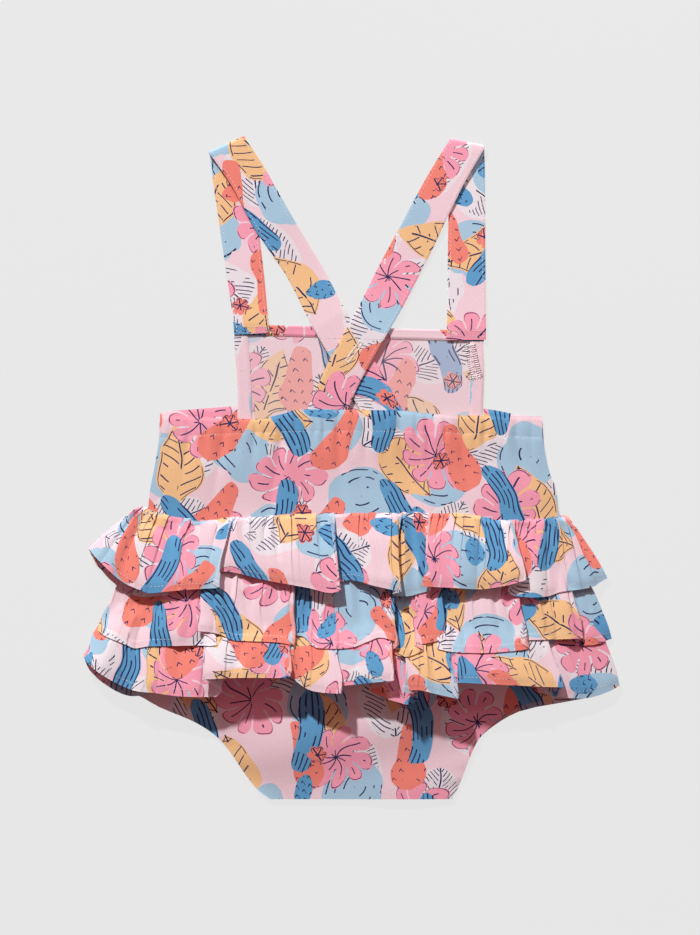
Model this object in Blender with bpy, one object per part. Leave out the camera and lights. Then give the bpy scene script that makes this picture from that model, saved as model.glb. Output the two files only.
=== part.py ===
"""Baby sunsuit with crossed straps and three back ruffles, laid flat with its back upwards.

Every cut piece is a thin cloth wall of its own. X runs across the garment, +Y towards the
shoulder straps, and Z = 0 is the surface that the front of the garment lies on.
Lengths in the tables and constants are millimetres; points are turned to metres once.
"""

import math
from collections import namedtuple

import bpy
from mathutils import Vector
from mathutils.bvhtree import BVHTree

MM = 0.001

# Cloth walls and the clearances between pieces
CLOTH_WALL = 1.0
RUFFLE_WALL = 1.1
HEM_WALL = 1.0
TURNED_WALL = 1.5
STRAP_WALL = 1.5
CASING_WALL = 2.2
SEAM_GAP = 0.3
CASING_GAP = 0.15
STACK_GAP = 0.35
RUFFLE_GAP = 0.8

# Levels, measured along Y from the middle of the garment
WAIST_SEAM_Y = 30.0
CROTCH_Y = -218.6
CASING_SIDE_Y = 19.5
CASING_RISE = 4.6
BACK_HALF_WAIST = 126.0
ABOVE_ALL = 100.0

# The bib and its folded edges
BIB_HEM_DEPTH = 7.0
BIB_SIDE_HEM_WIDTH = 9.0

# The shoulder fold of a strap
FOLD_INNER_RADIUS = 1.0
FOLD_STEPS = 6
STRAP_ACROSS = 2
STRAP_STEP = 7.0
STRAP_SAMPLES = 4

# How full the cloth stands: a high crown is flat in the middle and steep at the side seams,
# and a low opening lifts a ruffle soon after its seam
CROWN_FULLNESS = 2.5
RUFFLE_OPENING = 0.8

# Grid spacing of the walls
PANEL_COLUMNS = 14
PANEL_ROW = 18.0
BIB_COLUMNS = 8
BACK_COLUMNS = 40
BACK_TOP_ROWS = (0.35, 0.7, 1.0)
CASING_COLUMNS = 44
CASING_ROWS = (0.0, 0.3, 0.7, 1.0)
RUFFLE_ROWS = 5
RUFFLE_COLUMN = 8.0

CLOTH_ROUGHNESS = 0.85


Level = namedtuple("Level", "y left right")

# Side and leg edges of the front, from the waist seam down to the crotch
FRONT_LEVELS = [
    Level(29.7, -126.3, 126.4),
    Level(16.0, -126.7, 127.3),
    Level(-2.0, -130.0, 130.6),
    Level(-15.0, -132.6, 135.5),
    Level(-28.0, -134.0, 137.0),
    Level(-55.0, -141.5, 147.5),
    Level(-88.0, -151.5, 157.5),
    Level(-112.0, -159.0, 162.0),
    Level(-133.0, -164.0, 166.0),
    Level(-146.0, -149.5, 167.0),
    Level(-152.0, -137.0, 156.0),
    Level(-156.5, -129.5, 130.5),
    Level(-160.0, -122.0, 113.5),
    Level(-168.5, -102.0, 97.0),
    Level(-179.0, -87.0, 84.5),
    Level(-190.0, -78.0, 79.0),
    Level(-202.0, -70.0, 74.3),
    Level(-213.5, -60.5, 69.6),
    Level(CROTCH_Y, -53.0, 66.7),
]

# The same edges of the back, which sits a little higher on the right leg
BACK_LEVELS = [
    Level(-15.0, -132.6, 135.5),
    Level(-28.0, -134.0, 137.0),
    Level(-55.0, -141.5, 147.5),
    Level(-88.0, -151.5, 157.5),
    Level(-112.0, -158.5, 161.5),
    Level(-133.0, -158.0, 163.0),
    Level(-146.0, -140.0, 158.0),
    Level(-152.0, -132.0, 134.0),
    Level(-156.5, -129.0, 112.5),
    Level(-160.0, -121.5, 106.0),
    Level(-168.5, -101.8, 94.5),
    Level(-179.0, -86.8, 84.3),
    Level(-190.0, -77.8, 78.8),
    Level(-202.0, -69.8, 74.1),
    Level(-213.5, -60.3, 69.4),
    Level(CROTCH_Y, -52.8, 66.5),
]

LinePoint = namedtuple("LinePoint", "x y")

# Top edge of the back waist casing, pulled up in the middle by the straps
CASING_TOP = [
    LinePoint(-126.1, 34.8),
    LinePoint(-108.0, 33.9),
    LinePoint(-89.0, 32.8),
    LinePoint(-63.0, 32.0),
    LinePoint(-43.0, 36.0),
    LinePoint(-36.0, 38.3),
    LinePoint(36.0, 37.4),
    LinePoint(48.0, 35.9),
    LinePoint(74.0, 34.4),
    LinePoint(126.1, 34.0),
]

Crown = namedtuple("Crown", "y rim rise")

# Height of the back's underside at its side seams, and how much higher its middle stands
BACK_CROWN = [
    Crown(20.0, 1.9, 3.0),
    Crown(0.0, 1.35, 3.3),
    Crown(-60.0, 1.35, 3.5),
    Crown(-130.0, 1.35, 3.4),
    Crown(-175.0, 1.35, 2.6),
    Crown(-205.0, 1.35, 1.4),
    Crown(CROTCH_Y, 1.35, 0.3),
]

Gather = namedtuple("Gather", "x half_width depth reach")

# Soft gathers that the elastic draws in at the back waist; reach is their length below it
WAIST_GATHERS = [
    Gather(-104.0, 8.0, 0.7, 34.0),
    Gather(-84.0, 7.0, 1.0, 46.0),
    Gather(-66.0, 8.0, 0.8, 30.0),
    Gather(-45.0, 7.0, 1.2, 52.0),
    Gather(-27.0, 8.0, 0.8, 36.0),
    Gather(-8.0, 7.0, 1.1, 44.0),
    Gather(12.0, 8.0, 0.9, 32.0),
    Gather(31.0, 7.0, 1.2, 50.0),
    Gather(51.0, 8.0, 1.0, 40.0),
    Gather(70.0, 7.0, 0.8, 46.0),
    Gather(89.0, 8.0, 1.0, 34.0),
    Gather(108.0, 7.0, 0.6, 28.0),
]

Fold = namedtuple("Fold", "seam_x hem_x hem_y rise")

# Each row is a crest, a valley or a pleat edge of a ruffle: where it starts on its seam,
# where it ends on the hem, and how high the underside of the hem stands there.
TIER_1_SEAM = [LinePoint(-140, -25.5), LinePoint(-122, -31.5), LinePoint(-100, -34.5),
               LinePoint(-70, -32.0), LinePoint(0, -29.5), LinePoint(70, -29.5),
               LinePoint(100, -34.5), LinePoint(125, -33.5), LinePoint(142, -31.0)]
TIER_1_FOLDS = [
    Fold(-140, -173.3, -52.8, 4.0),
    Fold(-137, -167.0, -60.4, 3.5),
    Fold(-131, -150.5, -75.6, 6.0),
    Fold(-122, -137.5, -81.5, 13.0),
    Fold(-108, -119.0, -81.3, 19.0),
    Fold(-92, -97.0, -79.5, 20.0),
    Fold(-82, -88.5, -78.6, 22.0),
    Fold(-79, -82.5, -68.0, 15.0),
    Fold(-59, -57.5, -73.9, 17.5),
    Fold(-34, -29.0, -78.9, 21.0),
    Fold(-19, -14.5, -82.5, 25.0),
    Fold(-5, -3.0, -74.5, 17.0),
    Fold(11, 14.0, -77.6, 20.0),
    Fold(27, 32.5, -81.3, 24.0),
    Fold(33, 37.0, -84.5, 17.0),
    Fold(44, 44.5, -82.8, 18.0),
    Fold(50, 48.0, -77.6, 22.5),
    Fold(64, 66.0, -79.0, 21.5),
    Fold(87, 89.0, -79.5, 20.0),
    Fold(100, 101.6, -77.4, 20.0),
    Fold(106, 105.0, -83.5, 16.0),
    Fold(117, 119.0, -85.4, 16.5),
    Fold(128, 139.9, -81.8, 12.0),
    Fold(136, 155.8, -79.4, 6.5),
    Fold(142, 169.0, -72.9, 3.5),
]

TIER_2_SEAM = [LinePoint(-146, -62.0), LinePoint(-120, -66.0), LinePoint(120, -66.0),
               LinePoint(148, -62.0)]
TIER_2_FOLDS = [
    Fold(-146, -167.0, -107.0, 3.0),
    Fold(-142, -161.0, -111.3, 3.0),
    Fold(-133, -148.8, -117.2, 6.0),
    Fold(-122, -137.0, -119.0, 12.0),
    Fold(-106, -114.2, -117.6, 15.5),
    Fold(-95, -101.0, -117.6, 17.0),
    Fold(-92, -96.5, -109.9, 12.5),
    Fold(-74, -77.0, -113.7, 14.0),
    Fold(-54, -57.0, -114.5, 16.5),
    Fold(-36, -38.5, -117.0, 18.5),
    Fold(-33, -35.0, -111.0, 13.0),
    Fold(-20, -21.8, -119.1, 15.5),
    Fold(-7, -9.0, -119.4, 17.5),
    Fold(5, 6.0, -116.5, 14.5),
    Fold(15, 17.0, -111.9, 15.0),
    Fold(25, 28.5, -115.5, 19.5),
    Fold(31, 33.0, -124.0, 13.0),
    Fold(38, 40.0, -122.2, 13.5),
    Fold(42, 44.0, -117.6, 18.5),
    Fold(56, 58.0, -114.0, 17.0),
    Fold(63, 64.0, -121.0, 15.0),
    Fold(85, 89.0, -121.5, 16.5),
    Fold(100, 104.5, -121.0, 16.0),
    Fold(110, 115.5, -119.0, 17.0),
    Fold(115, 119.5, -113.6, 12.0),
    Fold(130, 144.0, -113.2, 11.0),
    Fold(139, 157.0, -117.0, 5.0),
    Fold(148, 171.6, -113.2, 3.0),
]

TIER_3_SEAM = [LinePoint(-157, -92.0), LinePoint(-125, -96.0), LinePoint(125, -96.0),
               LinePoint(156, -92.0)]
TIER_3_FOLDS = [
    Fold(-157, -177.0, -123.8, 2.0),
    Fold(-152, -170.9, -132.3, 2.5),
    Fold(-143, -158.5, -141.0, 4.5),
    Fold(-131, -143.0, -146.9, 8.0),
    Fold(-112, -122.8, -148.8, 11.5),
    Fold(-89, -95.0, -151.5, 15.0),
    Fold(-82, -85.0, -139.5, 10.5),
    Fold(-63, -63.4, -138.3, 12.5),
    Fold(-44, -42.2, -138.0, 15.0),
    Fold(-37, -35.0, -143.6, 10.5),
    Fold(-22, -20.0, -146.0, 12.5),
    Fold(-8, -6.5, -148.2, 15.0),
    Fold(-1, 0.0, -141.6, 10.5),
    Fold(15, 16.5, -139.8, 10.5),
    Fold(28, 28.5, -147.5, 14.0),
    Fold(35, 35.6, -155.5, 14.5),
    Fold(43, 43.6, -148.4, 11.0),
    Fold(53, 54.0, -148.8, 14.5),
    Fold(65, 67.5, -152.0, 17.0),
    Fold(69, 71.5, -142.0, 11.0),
    Fold(96, 101.6, -142.9, 13.5),
    Fold(127, 136.0, -144.2, 10.5),
    Fold(133, 141.0, -150.2, 7.5),
    Fold(143, 156.0, -150.8, 5.5),
    Fold(150, 169.0, -147.4, 3.5),
    Fold(156, 176.9, -144.0, 2.5),
]

Section = namedtuple("Section", "left_x left_y right_x right_y low")

# Sections of the straps: low is the least height of the cloth's underside at that section,
# which the back run needs where it comes down over the front run.
STRAP_LEFT_FRONT = [
    Section(-77.0, 87.6, -53.8, 88.8, 0.0),
    Section(-78.6, 103.0, -55.2, 103.0, 0.0),
    Section(-82.2, 128.0, -57.4, 127.0, 0.0),
    Section(-86.5, 158.0, -60.5, 155.0, 0.0),
    Section(-90.4, 184.0, -64.6, 187.0, 0.0),
    Section(-93.2, 206.5, -69.6, 217.0, 0.0),
]
STRAP_LEFT_BACK = [
    Section(-90.5, 203.2, -67.9, 214.2, 3.3),
    Section(-79.9, 187.8, -59.0, 201.0, 2.3),
    Section(-62.2, 155.0, -40.6, 168.5, 2.0),
    Section(-53.0, 141.5, -32.0, 154.0, 0.4),
    Section(-43.6, 128.0, -22.0, 137.8, 0.0),
    Section(-29.0, 99.6, -7.6, 111.0, 0.0),
    Section(-13.2, 71.6, 7.6, 84.5, 0.0),
    Section(1.5, 45.5, 25.5, 53.0, 0.0),
    Section(5.5, 38.5, 33.5, 38.5, 2.8),
    Section(12.0, 26.0, 40.0, 26.0, 2.8),
]
STRAP_RIGHT_FRONT = [
    Section(62.7, 84.2, 89.1, 84.2, 0.0),
    Section(63.4, 102.0, 88.9, 102.0, 0.0),
    Section(63.8, 130.0, 88.8, 130.0, 0.0),
    Section(64.2, 160.0, 88.6, 160.0, 0.0),
    Section(64.5, 188.0, 88.4, 186.0, 0.0),
    Section(64.7, 215.0, 88.0, 210.5, 0.0),
]
STRAP_RIGHT_BACK = [
    Section(62.6, 212.4, 86.2, 207.4, 3.3),
    Section(50.8, 193.0, 75.5, 189.0, 2.3),
    Section(40.5, 174.5, 63.5, 165.0, 2.0),
    Section(29.7, 154.0, 52.6, 141.5, 0.4),
    Section(17.5, 131.5, 41.0, 119.0, 0.0),
    Section(7.5, 111.0, 31.5, 101.0, 0.0),
    Section(-6.0, 86.0, 19.0, 80.0, 0.0),
    Section(-13.2, 72.9, 10.5, 65.0, 0.0),
    Section(-22.0, 54.0, 3.5, 51.5, 0.0),
    Section(-29.0, 38.5, -2.2, 38.5, 2.8),
    Section(-35.0, 26.0, -8.8, 26.0, 2.8),
]

BibEdge = namedtuple("BibEdge", "y left right")

# Side edges of the bib from its top edge down to the waist seam
BIB_LEVELS = [
    BibEdge(92.4, -77.2, 87.7),
    BibEdge(84.0, -77.1, 87.2),
    BibEdge(63.0, -75.4, 87.8),
    BibEdge(42.0, -74.6, 87.2),
    BibEdge(WAIST_SEAM_Y, -74.4, 87.0),
]
BIB_TOP_TILT = -4.4

# Top edge of the front beside the bib, which shows above the back waist
FRONT_WAIST_LEFT = [LinePoint(-126.0, 35.6), LinePoint(-122.0, 36.9), LinePoint(-101.6, 38.6),
                    LinePoint(-74.9, 40.6)]
FRONT_WAIST_RIGHT = [LinePoint(87.6, 39.0), LinePoint(96.0, 37.6), LinePoint(111.0, 34.7),
                     LinePoint(126.0, 33.0)]

Dye = namedtuple("Dye", "red green blue")
PINK = Dye(0.85, 0.56, 0.64)
ROSE = Dye(0.80, 0.26, 0.40)
CORAL = Dye(0.84, 0.27, 0.18)
APRICOT = Dye(0.82, 0.50, 0.22)
SKY = Dye(0.35, 0.55, 0.70)
BLUE = Dye(0.13, 0.36, 0.58)


def between(start, end, share):
    return start + (end - start) * share


def value_at(table, key, column, place):
    """Read a column of a table at a place along its key column, in straight runs."""
    rows = sorted(table, key=lambda row: getattr(row, key))
    place = min(max(place, getattr(rows[0], key)), getattr(rows[-1], key))
    for before, after in zip(rows, rows[1:]):
        start, end = getattr(before, key), getattr(after, key)
        if place <= end:
            share = (place - start) / (end - start)
            return between(getattr(before, column), getattr(after, column), share)
    return getattr(rows[-1], column)


def cloth_material(name, dye):
    """Printed cotton poplin: matt, with a slight sheen."""
    material = bpy.data.materials.new(name)
    material.use_nodes = True
    shader = material.node_tree.nodes["Principled BSDF"]
    shader.inputs["Base Color"].default_value = (dye.red, dye.green, dye.blue, 1.0)
    shader.inputs["Roughness"].default_value = CLOTH_ROUGHNESS
    return material


def sew_wall(name, rows, wall, dye, even=True):
    """Make one cloth wall from rows of points on its first face, thickened along its normals."""
    width = len(rows[0])
    points = [Vector(point) * MM for row in rows for point in row]
    faces = []
    for i in range(len(rows) - 1):
        for j in range(width - 1):
            corner = i * width + j
            faces.append((corner, corner + 1, corner + width + 1, corner + width))
    mesh = bpy.data.meshes.new(name)
    mesh.from_pydata(points, [], faces)
    mesh.shade_smooth()
    piece = bpy.data.objects.new(name, mesh)
    bpy.context.scene.collection.objects.link(piece)
    mesh.materials.append(cloth_material(name + "_cloth", dye))
    thickness = piece.modifiers.new("cloth_thickness", "SOLIDIFY")
    thickness.thickness = wall * MM
    thickness.offset = 1.0
    thickness.use_even_offset = even
    return piece


def surface_of(piece):
    """The finished surface of a piece, for laying the next piece on it."""
    bpy.context.view_layer.update()
    return BVHTree.FromObject(piece, bpy.context.evaluated_depsgraph_get())


def height_below(surfaces, x, y, reach):
    """Highest point of the surfaces within reach of (x, y), or zero where there is none."""
    highest = 0.0
    down = Vector((0.0, 0.0, -1.0))
    for across in (-reach, 0.0, reach):
        for along in (-reach, 0.0, reach):
            start = Vector((x + across, y + along, ABOVE_ALL)) * MM
            for surface in surfaces:
                hit = surface.ray_cast(start, down)[0]
                if hit is not None:
                    highest = max(highest, hit.z / MM)
    return highest


def spaced(levels, step):
    """The Y values of the levels, with even ones added where they are further apart than step."""
    places = []
    for upper, lower in zip(levels, levels[1:]):
        parts = max(1, math.ceil(abs(upper.y - lower.y) / step))
        places += [between(upper.y, lower.y, part / parts) for part in range(parts)]
    return places + [levels[-1].y]


def casing_line(x):
    """Y of the stitch line between the back panel and the waist casing."""
    return CASING_SIDE_Y + CASING_RISE * (1.0 - (x / BACK_HALF_WAIST) ** 2)


def gather_height(x, y):
    """Height of the waist gathers, full at the casing and fading down their length."""
    height = 0.0
    below = max(0.0, casing_line(x) - y)
    for gather in WAIST_GATHERS:
        away = abs(x - gather.x) / gather.half_width
        if away < 1.0 and below < gather.reach:
            fade = 1.0 - below / gather.reach
            height += gather.depth * fade * (0.5 + 0.5 * math.cos(math.pi * away))
    return height


def back_underside(x, y, left, right):
    """Height of the back's underside: low at the side seams, fuller in the middle."""
    middle = (left + right) / 2.0
    out = min(1.0, abs(x - middle) / ((right - left) / 2.0))
    rim = value_at(BACK_CROWN, "y", "rim", y)
    rise = value_at(BACK_CROWN, "y", "rise", y)
    return rim + rise * (1.0 - out ** CROWN_FULLNESS) + gather_height(x, y)


def make_front_panel():
    rows = []
    for y in reversed(spaced(FRONT_LEVELS, PANEL_ROW)):
        left = value_at(FRONT_LEVELS, "y", "left", y)
        right = value_at(FRONT_LEVELS, "y", "right", y)
        shares = [column / PANEL_COLUMNS for column in range(PANEL_COLUMNS + 1)]
        rows.append([(between(left, right, share), y, 0.0) for share in shares])
    return sew_wall("front_panel", rows, CLOTH_WALL, PINK)


def bib_top(x):
    """Y of the bib's top edge, which runs down slightly to the right."""
    top = BIB_LEVELS[0]
    return top.y + BIB_TOP_TILT * ((x - top.left) / (top.right - top.left) - 0.5)


def bib_point(x, y):
    """A point of the bib, with its upper part following the tilt of the top edge."""
    top, below = BIB_LEVELS[0].y, BIB_LEVELS[1].y
    share = max(0.0, (y - below) / (top - below))
    return (x, y + (bib_top(x) - top) * share, 0.0)


def bib_columns(level):
    """Evenly spaced X places from one side edge of the bib to the other."""
    shares = [column / BIB_COLUMNS for column in range(BIB_COLUMNS + 1)]
    return [between(level.left, level.right, share) for share in shares]


def make_bib():
    rows = []
    for level in reversed(BIB_LEVELS):
        rows.append([bib_point(x, level.y) for x in bib_columns(level)])
    return sew_wall("front_bib", rows, CLOTH_WALL, PINK)


def make_bib_hems():
    """The hems folded to the inside of the bib along its top and sides."""
    low = CLOTH_WALL + SEAM_GAP
    upper = [(x, bib_top(x), low) for x in bib_columns(BIB_LEVELS[0])]
    lower = [(x, y - BIB_HEM_DEPTH, low) for x, y, low in upper]
    hems = [sew_wall("bib_top_hem", [lower, upper], HEM_WALL, ROSE)]
    for side, inward in (("left", 1.0), ("right", -1.0)):
        rows = []
        for level in reversed(BIB_LEVELS[1:]):
            edge = getattr(level, side)
            xs = sorted((edge, edge + inward * BIB_SIDE_HEM_WIDTH))
            rows.append([(x, level.y, low) for x in xs])
        rows[-1] = [(x, bib_top(x) - BIB_HEM_DEPTH - SEAM_GAP, low) for x in xs]
        hems.append(sew_wall("bib_side_hem_" + side, rows, HEM_WALL, PINK))
    return hems


def make_front_waist_hems():
    """The turned top edge of the front on each side of the bib."""
    for side, edge in (("left", FRONT_WAIST_LEFT), ("right", FRONT_WAIST_RIGHT)):
        lower = [(point.x, WAIST_SEAM_Y, 0.0) for point in edge]
        upper = [(point.x, point.y, 0.0) for point in edge]
        sew_wall("front_waist_hem_" + side, [lower, upper], TURNED_WALL, APRICOT)


def run_sections(run, surfaces):
    """Closer sections of a strap run, each lifted clear of what the strap lies on there."""
    places = []
    for before, after in zip(run, run[1:]):
        length = math.hypot(after.left_x - before.left_x, after.left_y - before.left_y)
        parts = max(1, math.ceil(length / STRAP_STEP))
        for part in range(parts):
            values = [between(start, end, part / parts) for start, end in zip(before, after)]
            places.append(Section(*values))
    places.append(run[-1])
    laid = []
    for place in places:
        low = place.low
        for part in range(STRAP_SAMPLES + 1):
            x = between(place.left_x, place.right_x, part / STRAP_SAMPLES)
            y = between(place.left_y, place.right_y, part / STRAP_SAMPLES)
            below = height_below(surfaces, x, y, STRAP_STEP)
            if below > 0.0:
                low = max(low, below + STACK_GAP)
        laid.append(place._replace(low=low))
    return laid


def make_strap(side, front, back, surfaces, dye):
    """One strap as a ribbon: up from the bib, over the shoulder fold and down to the waist."""
    def across(section, height):
        left = Vector((section.left_x, section.left_y, height))
        right = Vector((section.right_x, section.right_y, height))
        return [right.lerp(left, part / STRAP_ACROSS) for part in range(STRAP_ACROSS + 1)]

    rows = [across(place, place.low + STRAP_WALL) for place in run_sections(front, surfaces)]
    crease = front[-1]
    along = Vector((crease.right_x - crease.left_x, crease.right_y - crease.left_y, 0.0))
    outward = Vector((-along.y, along.x, 0.0)).normalized()
    centre = STRAP_WALL + FOLD_INNER_RADIUS
    for step in range(1, FOLD_STEPS + 1):
        angle = math.pi * step / FOLD_STEPS
        lift = centre - FOLD_INNER_RADIUS * math.cos(angle)
        reach = outward * FOLD_INNER_RADIUS * math.sin(angle)
        rows.append([point + reach for point in across(crease, lift)])
    rows += [across(place, place.low) for place in run_sections(back, surfaces)]
    return sew_wall("strap_" + side, rows, STRAP_WALL, dye)


def make_back_panel():
    """The back from the crotch up to the casing, crowned and gathered at the waist."""
    shares = [column / BACK_COLUMNS for column in range(BACK_COLUMNS + 1)]
    rows = []
    for y in reversed(spaced(BACK_LEVELS, PANEL_ROW)):
        left = value_at(BACK_LEVELS, "y", "left", y)
        right = value_at(BACK_LEVELS, "y", "right", y)
        xs = [between(left, right, share) for share in shares]
        rows.append([(x, y, back_underside(x, y, left, right)) for x in xs])
    start = BACK_LEVELS[0].y
    for part in BACK_TOP_ROWS:
        row = []
        for share in shares:
            nominal = between(start, CASING_SIDE_Y, part)
            left = value_at(FRONT_LEVELS, "y", "left", nominal)
            right = value_at(FRONT_LEVELS, "y", "right", nominal)
            x = between(left, right, share)
            y = between(start, casing_line(x) - SEAM_GAP, part)
            row.append((x, y, back_underside(x, y, left, right)))
        rows.append(row)
    return sew_wall("back_panel", rows, CLOTH_WALL, PINK)


def make_waist_casing():
    """The folded casing with its elastic, along the top of the back."""
    rows = []
    for part in CASING_ROWS:
        row = []
        for column in range(CASING_COLUMNS + 1):
            x = between(-BACK_HALF_WAIST, BACK_HALF_WAIST, column / CASING_COLUMNS)
            top = value_at(CASING_TOP, "x", "y", x)
            y = between(casing_line(x), top, part)
            low = back_underside(x, min(y, CASING_SIDE_Y), -BACK_HALF_WAIST, BACK_HALF_WAIST)
            row.append((x, y, low + CASING_GAP))
        rows.append(row)
    return sew_wall("back_waist_casing", rows, CASING_WALL, SKY, even=False)


def fold_columns(folds):
    """The fold rows with even ones added between them, eased so that crests stay round."""
    columns = []
    for before, after in zip(folds, folds[1:]):
        parts = max(1, math.ceil(abs(after.hem_x - before.hem_x) / RUFFLE_COLUMN))
        for part in range(parts):
            share = part / parts
            eased = 0.5 - 0.5 * math.cos(math.pi * share)
            fold = Fold(*[between(start, end, share) for start, end in zip(before, after)])
            columns.append(fold._replace(rise=between(before.rise, after.rise, eased)))
    return columns + [folds[-1]]


def make_ruffle(tier, seam, folds, surfaces, dye):
    """A gathered tier that hangs from its seam and stands off what lies under it."""
    columns = fold_columns(folds)
    rows = []
    for step in range(RUFFLE_ROWS + 1):
        share = step / RUFFLE_ROWS
        row = []
        for fold in columns:
            start_y = value_at(seam, "x", "y", fold.seam_x)
            x = between(fold.seam_x, fold.hem_x, share)
            y = between(start_y, fold.hem_y, share)
            under = height_below(surfaces, x, y, RUFFLE_COLUMN / 2.0)
            low = under + RUFFLE_GAP
            planned = fold.rise * share ** RUFFLE_OPENING
            row.append((x, y, max(low, planned)))
        rows.append(row)
    rows.reverse()
    return sew_wall(f"ruffle_tier_{tier}", rows, RUFFLE_WALL, dye, even=False)


def build():
    for old in list(bpy.data.objects):
        bpy.data.objects.remove(old, do_unlink=True)
    make_front_panel()
    make_front_waist_hems()
    laid = [surface_of(piece) for piece in [make_bib()] + make_bib_hems()]
    left_strap = make_strap("left", STRAP_LEFT_FRONT, STRAP_LEFT_BACK, laid, BLUE)
    laid.append(surface_of(left_strap))
    make_strap("right", STRAP_RIGHT_FRONT, STRAP_RIGHT_BACK, laid, APRICOT)
    laid = [surface_of(make_back_panel())]
    make_waist_casing()
    tiers = (
        (3, TIER_3_SEAM, TIER_3_FOLDS, APRICOT),
        (2, TIER_2_SEAM, TIER_2_FOLDS, ROSE),
        (1, TIER_1_SEAM, TIER_1_FOLDS, CORAL),
    )
    for tier, seam, folds, dye in tiers:
        laid.append(surface_of(make_ruffle(tier, seam, folds, laid, dye)))


build()
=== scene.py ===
"""Baby sunsuit with crossed straps and three back ruffles: its cloth, print and stitching.

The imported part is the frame. Every cut piece is a thin shell of cloth, laid over the pieces
under it, and the print follows the cloth on its own UV map in metres. X runs across the
garment, +Y towards the shoulders and +Z up from the surface that its front lies on.
Lengths in tables are millimetres, and grids of points are turned to metres when they are sewn.
"""

import math
from collections import namedtuple
from functools import partial

import bpy
import numpy as np
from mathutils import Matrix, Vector
from mathutils.bvhtree import BVHTree


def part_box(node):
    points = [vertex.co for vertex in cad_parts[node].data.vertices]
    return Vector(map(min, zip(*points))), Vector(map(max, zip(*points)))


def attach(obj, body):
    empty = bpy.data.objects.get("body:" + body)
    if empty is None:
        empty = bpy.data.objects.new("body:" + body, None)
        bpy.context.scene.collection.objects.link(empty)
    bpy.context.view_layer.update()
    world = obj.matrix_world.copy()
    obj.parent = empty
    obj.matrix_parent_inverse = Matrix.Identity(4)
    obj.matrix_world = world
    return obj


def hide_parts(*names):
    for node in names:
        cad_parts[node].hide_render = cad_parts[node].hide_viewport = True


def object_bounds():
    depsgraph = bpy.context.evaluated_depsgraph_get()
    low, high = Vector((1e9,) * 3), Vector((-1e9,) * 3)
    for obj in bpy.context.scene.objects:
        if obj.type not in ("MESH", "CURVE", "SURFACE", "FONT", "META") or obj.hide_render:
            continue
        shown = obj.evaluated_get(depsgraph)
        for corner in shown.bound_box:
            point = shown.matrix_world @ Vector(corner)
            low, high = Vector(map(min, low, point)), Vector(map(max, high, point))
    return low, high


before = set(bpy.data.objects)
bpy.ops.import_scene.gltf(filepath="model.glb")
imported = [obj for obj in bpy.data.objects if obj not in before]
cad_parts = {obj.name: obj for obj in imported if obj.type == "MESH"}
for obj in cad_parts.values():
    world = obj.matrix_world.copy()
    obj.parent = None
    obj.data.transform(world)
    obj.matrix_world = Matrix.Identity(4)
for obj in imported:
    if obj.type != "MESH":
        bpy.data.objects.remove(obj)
CAD_LOW, CAD_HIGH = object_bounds()

bl_info = {
    "name": "Ruffled Sunsuit",
    "version": (1, 0, 0),
    "blender": (4, 5, 0),
    "location": "View3D > Sidebar > Sunsuit",
    "description": "Sews a printed baby sunsuit with crossed straps and back ruffles",
    "category": "Object",
}

MM = 0.001
BODY = "root"


def table(columns, rows):
    """Rows of numbers under the names of their columns."""
    return [columns(*row) for row in rows]


# ---------------------------------------------------------------- outlines of the cut pieces

Level = namedtuple("Level", "y left right")

# The front and the back share their side seams above the legs
SIDE_SEAMS = [
    (-2, -130, 130.6), (-15, -132.6, 135.5), (-28, -134, 137), (-55, -141.5, 147.5),
    (-88, -151.5, 157.5),
]
FRONT_LEVELS = table(Level, [(29.7, -126.3, 126.4), (16, -126.7, 127.3)] + SIDE_SEAMS + [
    (-112, -159, 162), (-133, -164, 166), (-146, -149.5, 167), (-152, -137, 156),
    (-156.5, -129.5, 130.5), (-160, -122, 113.5), (-168.5, -102, 97), (-179, -87, 84.5),
    (-190, -78, 79), (-202, -70, 74.3), (-213.5, -60.5, 69.6), (-218.6, -53, 66.7),
])
BACK_LEVELS = table(Level, [(21, -126.2, 126.2)] + SIDE_SEAMS + [
    (-112, -158.5, 161.5), (-133, -158, 163), (-146, -140, 158), (-152, -132, 134),
    (-156.5, -129, 112.5), (-160, -121.5, 106), (-168.5, -101.8, 94.5), (-179, -86.8, 84.3),
    (-190, -77.8, 78.8), (-202, -69.8, 74.1), (-213.5, -60.3, 69.4), (-218.6, -52.8, 66.5),
])
BIB_LEVELS = table(Level, [
    (92.4, -77.2, 87.7), (84, -77.1, 87.2), (63, -75.4, 87.8), (42, -74.6, 87.2),
    (30, -74.4, 87),
])
# Top edges, as x and y
CASING_TOP = [
    (-126.1, 34.8), (-108, 33.9), (-89, 32.8), (-63, 32), (-43, 36), (-36, 38.3), (36, 37.4),
    (48, 35.9), (74, 34.4), (126.1, 34),
]
FRONT_WAIST = {
    "left": [(-126, 35.6), (-122, 36.9), (-101.6, 38.6), (-74.9, 40.6)],
    "right": [(87.6, 39), (96, 37.6), (111, 34.7), (126, 33)],
}
# At each y, the height of the back's cloth at its side seams and what its middle adds to it
BACK_CROWN = [
    (20, 1.3, 4.6), (0, 1.2, 4.2), (-60, 1.1, 4.2), (-130, 1.1, 4.2), (-175, 1.2, 3.2),
    (-205, 1.3, 1.9), (-218.6, 1.3, 0.9),
]

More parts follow.
